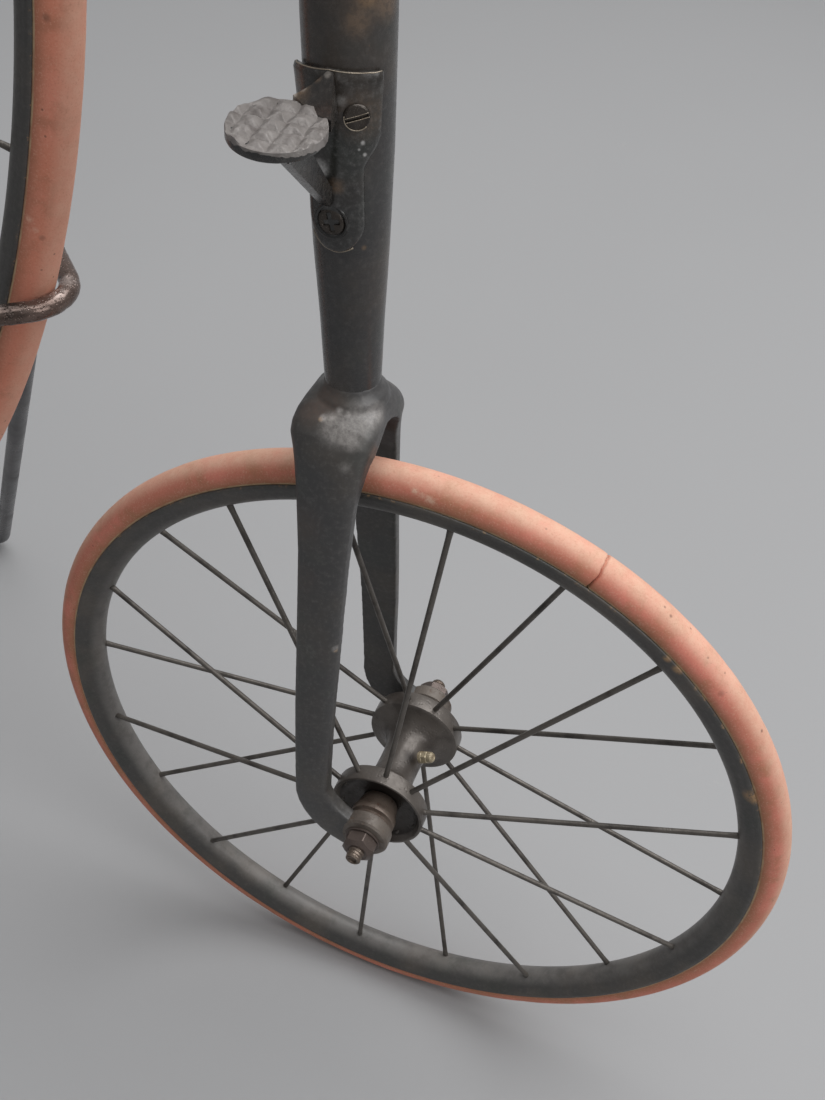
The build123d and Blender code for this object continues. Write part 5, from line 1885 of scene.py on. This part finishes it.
@dataclass
class Saddle:
    """Saddle: arched leather with rivets, its iron frame and the leaf spring."""

    leather: float = 6.0
    sections: tuple[tuple[float, float, float, float], ...] = (
        (0.0, 19.0, 4.0, 20.0), (85.0, 27.0, 0.0, 26.0), (165.0, 55.0, -2.0, 24.0), (225.0, 90.0, 4.0, 16.0),
        (275.0, 84.0, 12.0, 12.0),
    )

    def row(self, back: float) -> tuple[float, float, float]:
        """Half width, height and drop of the sides at a distance back from the nose."""
        for low, high in zip(self.sections, self.sections[1:]):
            if back <= high[0]:
                share = (back - low[0]) / (high[0] - low[0])
                smooth = share * share * (3 - 2 * share) * 0.5 + share * 0.5
                return tuple(a + (b - a) * smooth for a, b in zip(low[1:], high[1:]))
        return self.sections[-1][1:]

    def build(self) -> None:
        """Build and dress the saddle."""
        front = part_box("saddle_top")[1].x / MM
        base = self.base_height()
        rings = []
        for step in range(56):
            back = self.sections[-1][0] * (0.5 - 0.5 * math.cos(math.pi * step / 55))
            half, height, drop = self.row(back)
            inner = half - self.leather * 0.7
            rings.append(self.arch(front - back, base + height, half, inner, drop, back))
        piece = Form().rings(rings).made("saddle_leather_top", crease=50)
        Shop.fit(piece, Body.FRAME, Leather("saddle leather").make(), "leather", ["saddle_top"])
        black = WornEnamel("spring enamel", base=tint(44, 42, 40), warm=tint(60, 52, 46), chips=0.3).make()
        for node in ("saddle_frame", "saddle_spring"):
            Shop.fit(Shop.eased_copy(f"{node}_iron", node, 0.8, 3), Body.FRAME, black, "spring_steel", [node])
        self.build_rivets(front, base)

    def base_height(self) -> float:
        """Row height of the leather's underside before the table's heights are added."""
        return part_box("saddle_top")[1].z / MM - self.leather - self.sections[-1][2]

    def arch(self, x: float, z: float, half: float, inner: float, drop: float, back: float) -> list[Vector]:
        """Section of the leather: an arch over the top and back under it.

        Args:
            x: Place along the row.
            z: Level of the sides' top.
            half: Half width outside.
            inner: Half width inside.
            drop: Drop of the sides.
            back: Distance from the nose.

        Returns:
            Points of the section.
        """
        outer_line, inner_line = [], []
        count = 30
        for step in range(count + 1):
            across = step / count * 2 - 1
            rise = 1 - across * across
            crease = 0.5 * Shop.wander(Vector((back, across * half, 0)), 28.0)
            outer_line.append(Vector((x, half * across,
                                      z - drop + (drop + self.leather) * rise - 0.4 + 0.4 * crease)))
            inner_line.append(Vector((x, inner * across, z - drop + drop * rise + 0.2)))
        return outer_line + inner_line[::-1]

    def build_rivets(self, front: float, base: float) -> None:
        """Domed copper rivets at the cantle and the nose.

        Args:
            front: Row place of the nose.
            base: Level of the leather's underside.
        """
        form = Form()
        spots = [(back, across) for back, row in ((262.0, (-0.72, -0.36, 0.0, 0.36, 0.72)), (9.0, (-0.5, 0.0, 0.5)))
                 for across in row]
        for back, across in spots:
            half, height, drop = self.row(back)
            rise = 1 - across * across
            top = base + height - drop + (drop + self.leather) * rise - 0.9
            foot = Vector((front - back, half * across, top))
            lean = Vector((0, 2 * across * (drop + self.leather) / half, 1))
            form.turned([(0, 0), (0, 4.6), (0.7, 4.4), (1.2, 3.2), (1.45, 1.6), (1.5, 0)], 28, foot, lean)
        copper = OldSteel(
            "rivet copper", steel=tint(146, 104, 72), stain=tint(88, 62, 44), rust=tint(70, 50, 38),
            pale=tint(198, 160, 124), rusted=0.3, rough=0.34, metal=0.85, grain=2.0)
        Shop.fit(form.made("saddle_rivets", crease=40), Body.FRAME, copper.make(), "leather")


@dataclass
class Studio:
    """Floor, light and camera."""

    camera_place: tuple[float, float, float] = (-0.769656, 0.412891, 0.788127)
    right: tuple[float, float, float] = (-0.929816, -0.357156, 0.088775)
    down: tuple[float, float, float] = (-0.307024, 0.61979, -0.722216)
    forward: tuple[float, float, float] = (0.202922, -0.698785, -0.685946)
    focal_pixels: float = 1238.1
    picture_height: float = 1100.0
    sensor: float = 36.0
    floor_half: float = 9000.0
    surround: float = 0.33
    aim: tuple[float, float, float] = (-0.6, 0.0, 0.3)
    # name, place, diameter and power of each round soft light, in metres and watts
    lamps: tuple[tuple[str, tuple[float, float, float], float, float], ...] = (
        ("soft_box", (-1.3, -0.7, 3.2), 4.2, 150.0),
        ("side_box", (-2.4, 0.6, 1.5), 1.4, 12.0),
    )

    def build(self) -> None:
        """Build the studio."""
        self.build_floor()
        self.build_light()
        self.build_camera()

    def build_floor(self) -> None:
        """Seamless pale floor."""
        form = Form()
        form.verts = [Vector((x, y, 0)) * self.floor_half for x, y in ((-1, -1), (1, -1), (1, 1), (-1, 1))]
        form.faces = [(0, 1, 2, 3)]
        floor = form.made("studio_floor", smooth=False)
        floor.data.materials.append(StudioPaper("studio paper").make())

    def build_light(self) -> None:
        """Soft box overhead and an even surround."""
        scene = bpy.context.scene
        world = bpy.data.worlds.new("studio")
        world.use_nodes = True
        ground = world.node_tree.nodes["Background"]
        ground.inputs[0].default_value = (0.97, 0.985, 1.0, 1.0)
        ground.inputs[1].default_value = self.surround
        scene.world = world
        for name, place, size, power in self.lamps:
            light = bpy.data.lights.new(name, "AREA")
            light.shape = "DISK"
            light.size = size
            light.energy = power
            lamp = bpy.data.objects.new(name, light)
            lamp.location = place
            heading = Vector(self.aim) - Vector(place)
            lamp.rotation_euler = heading.to_track_quat("-Z", "Y").to_euler()
            scene.collection.objects.link(lamp)
        scene.view_settings.view_transform = "Standard"

    def build_camera(self) -> None:
        """Camera at the photograph's place and angle."""
        data = bpy.data.cameras.new("camera")
        data.sensor_width = self.sensor
        data.lens = self.focal_pixels / self.picture_height * self.sensor
        data.clip_start, data.clip_end = 0.02, 60.0
        camera = bpy.data.objects.new("camera", data)
        axes = Matrix((self.right, [-part for part in self.down], [-part for part in self.forward])).transposed()
        camera.matrix_world = Matrix.Translation(self.camera_place) @ axes.to_4x4()
        bpy.context.scene.collection.objects.link(camera)
        bpy.context.scene.camera = camera


REAR_HUB_PROFILE = (
    (0.0, 11.5), (6.0, 11.6), (11.0, 12.1), (15.0, 13.2), (18.0, 15.2), (20.2, 18.0), (21.8, 21.2), (22.9, 24.4),
    (23.3, 25.8), (23.8, 26.4), (24.4, 26.5), (32.8, 26.5), (33.3, 26.3), (33.5, 25.7), (33.4, 25.0), (32.6, 24.4),
    (30.6, 23.4), (28.6, 21.6), (27.3, 19.0), (27.0, 16.0), (27.0, 6.55), (0.0, 6.55),
)
FRONT_HUB_PROFILE = (
    (0.0, 19.0), (24.0, 19.2), (30.0, 20.8), (34.5, 24.5), (37.0, 30.5), (38.0, 40.0), (38.2, 59.5), (38.8, 61.6),
    (39.6, 62.0), (44.6, 62.0), (45.6, 61.4), (46.0, 60.0), (45.8, 50.0), (44.6, 47.5), (44.2, 30.0), (44.8, 20.0),
    (46.0, 17.4), (48.6, 15.2), (49.0, 14.6), (49.0, 11.0), (91.2, 11.0), (92.0, 10.2), (92.0, 0.0), (0.0, 0.0),
)


def main() -> None:
    """Build the bicycle, its stand and the studio."""
    logging.basicConfig(level=logging.INFO, format="%(name)s: %(message)s")
    hub = OldSteel(
        "rear hub steel", steel=tint(94, 88, 83), stain=tint(64, 58, 54), rust=tint(78, 66, 58),
        pale=tint(126, 119, 112), rusted=0.3, stained=0.65, rough=0.38, metal=0.35, grain=5.0,
        # The first dark mark lies beside the oiler's foot; the second is painted shade on the far flange's inner
        # face. The hub's outer dishes get painted shade as well.
        darks=marks((-6, -1, 9, 6.5, 0.95), (6, -24, 12, 10, 0.5)), shaded_dish=(REAR_AXLE, 23.6, 25.5))
    front_hub = OldSteel(
        "front hub steel", steel=tint(120, 110, 102), stain=tint(78, 70, 62), rusted=0.3, stained=0.6, rough=0.36,
        metal=0.65, grain=7.0)
    rear_rubber = AgedRubber(
        "rear aged rubber", REAR_AXLE, 206.4, 9.5, 203.0,
        pits=marks(
            (-113, 1.3, 183.9, 1.0, 0.6), (-116.7, 2.8, 181.1, 1.2, 0.6), (-138.1, 4.1, 164.7, 0.9, 0.5),
            (-149, 8.3, 149.5, 2.6, 0.35), (-147.7, 2.3, 157.1, 0.9, 0.5), (-172.9, 2.6, 128.6, 1.3, 0.7)),
        scrapes=marks(
            (7.2, 8.4, 210.8, 2.6, 0.9), (3.6, 8.8, 210, 2.2, 0.8), (0.2, 9.1, 209.2, 2.8, 0.9),
            (-1.8, 9.3, 208.4, 2.0, 0.8)))
    front_rubber = AgedRubber(
        "front aged rubber", FRONT_AXLE, 674.5, 11.3, 671.1, base=tint(200, 127, 103), rosy=tint(208, 134, 112),
        beige=tint(208, 160, 138), brown=tint(160, 106, 82),
        scrapes=marks((192.8, 11.3, 295, 2.6, 0.9), (190.8, 10.4, 290, 2.2, 0.7)),
        pits=marks((188.8, 9.3, 286, 2.2, 0.4), (172.8, 11, 384.3, 2.6, 0.5)))
    tube = Backbone()
    parts = (
        Wheel(
            "rear", Body.REAR_WHEEL, REAR_AXLE, 215.9, 9.5, 26.5, 20, 57.14, 26.5, 28.5, REAR_HUB_PROFILE, hub, 620,
            rear_rubber, seam=112.5, spoke_hold=5.0,
            flakes=marks((-180.4, 9.6, 89.5, 6.5), (-127, 9.5, 157, 4, 0.8), (-121, 9.5, 161.5, 3, 0.8))),
        Wheel(
            "front", Body.FRONT_WHEEL, FRONT_AXLE, 685.8, 11.3, 28.0, 60, -166.9, 62.0, 42.0, FRONT_HUB_PROFILE,
            front_hub, 1080, front_rubber, spoke_hold=5.0, nose=8.9),
        RearAxle(), RearFork(), tube, MountingStep(tube), Stand(), FrontEnd(), Drive(), Saddle(), Studio(),
    )
    for part in parts:
        part.build()
        LOG.info("%s is built", type(part).__name__)


if __name__ == "__main__":
    main()
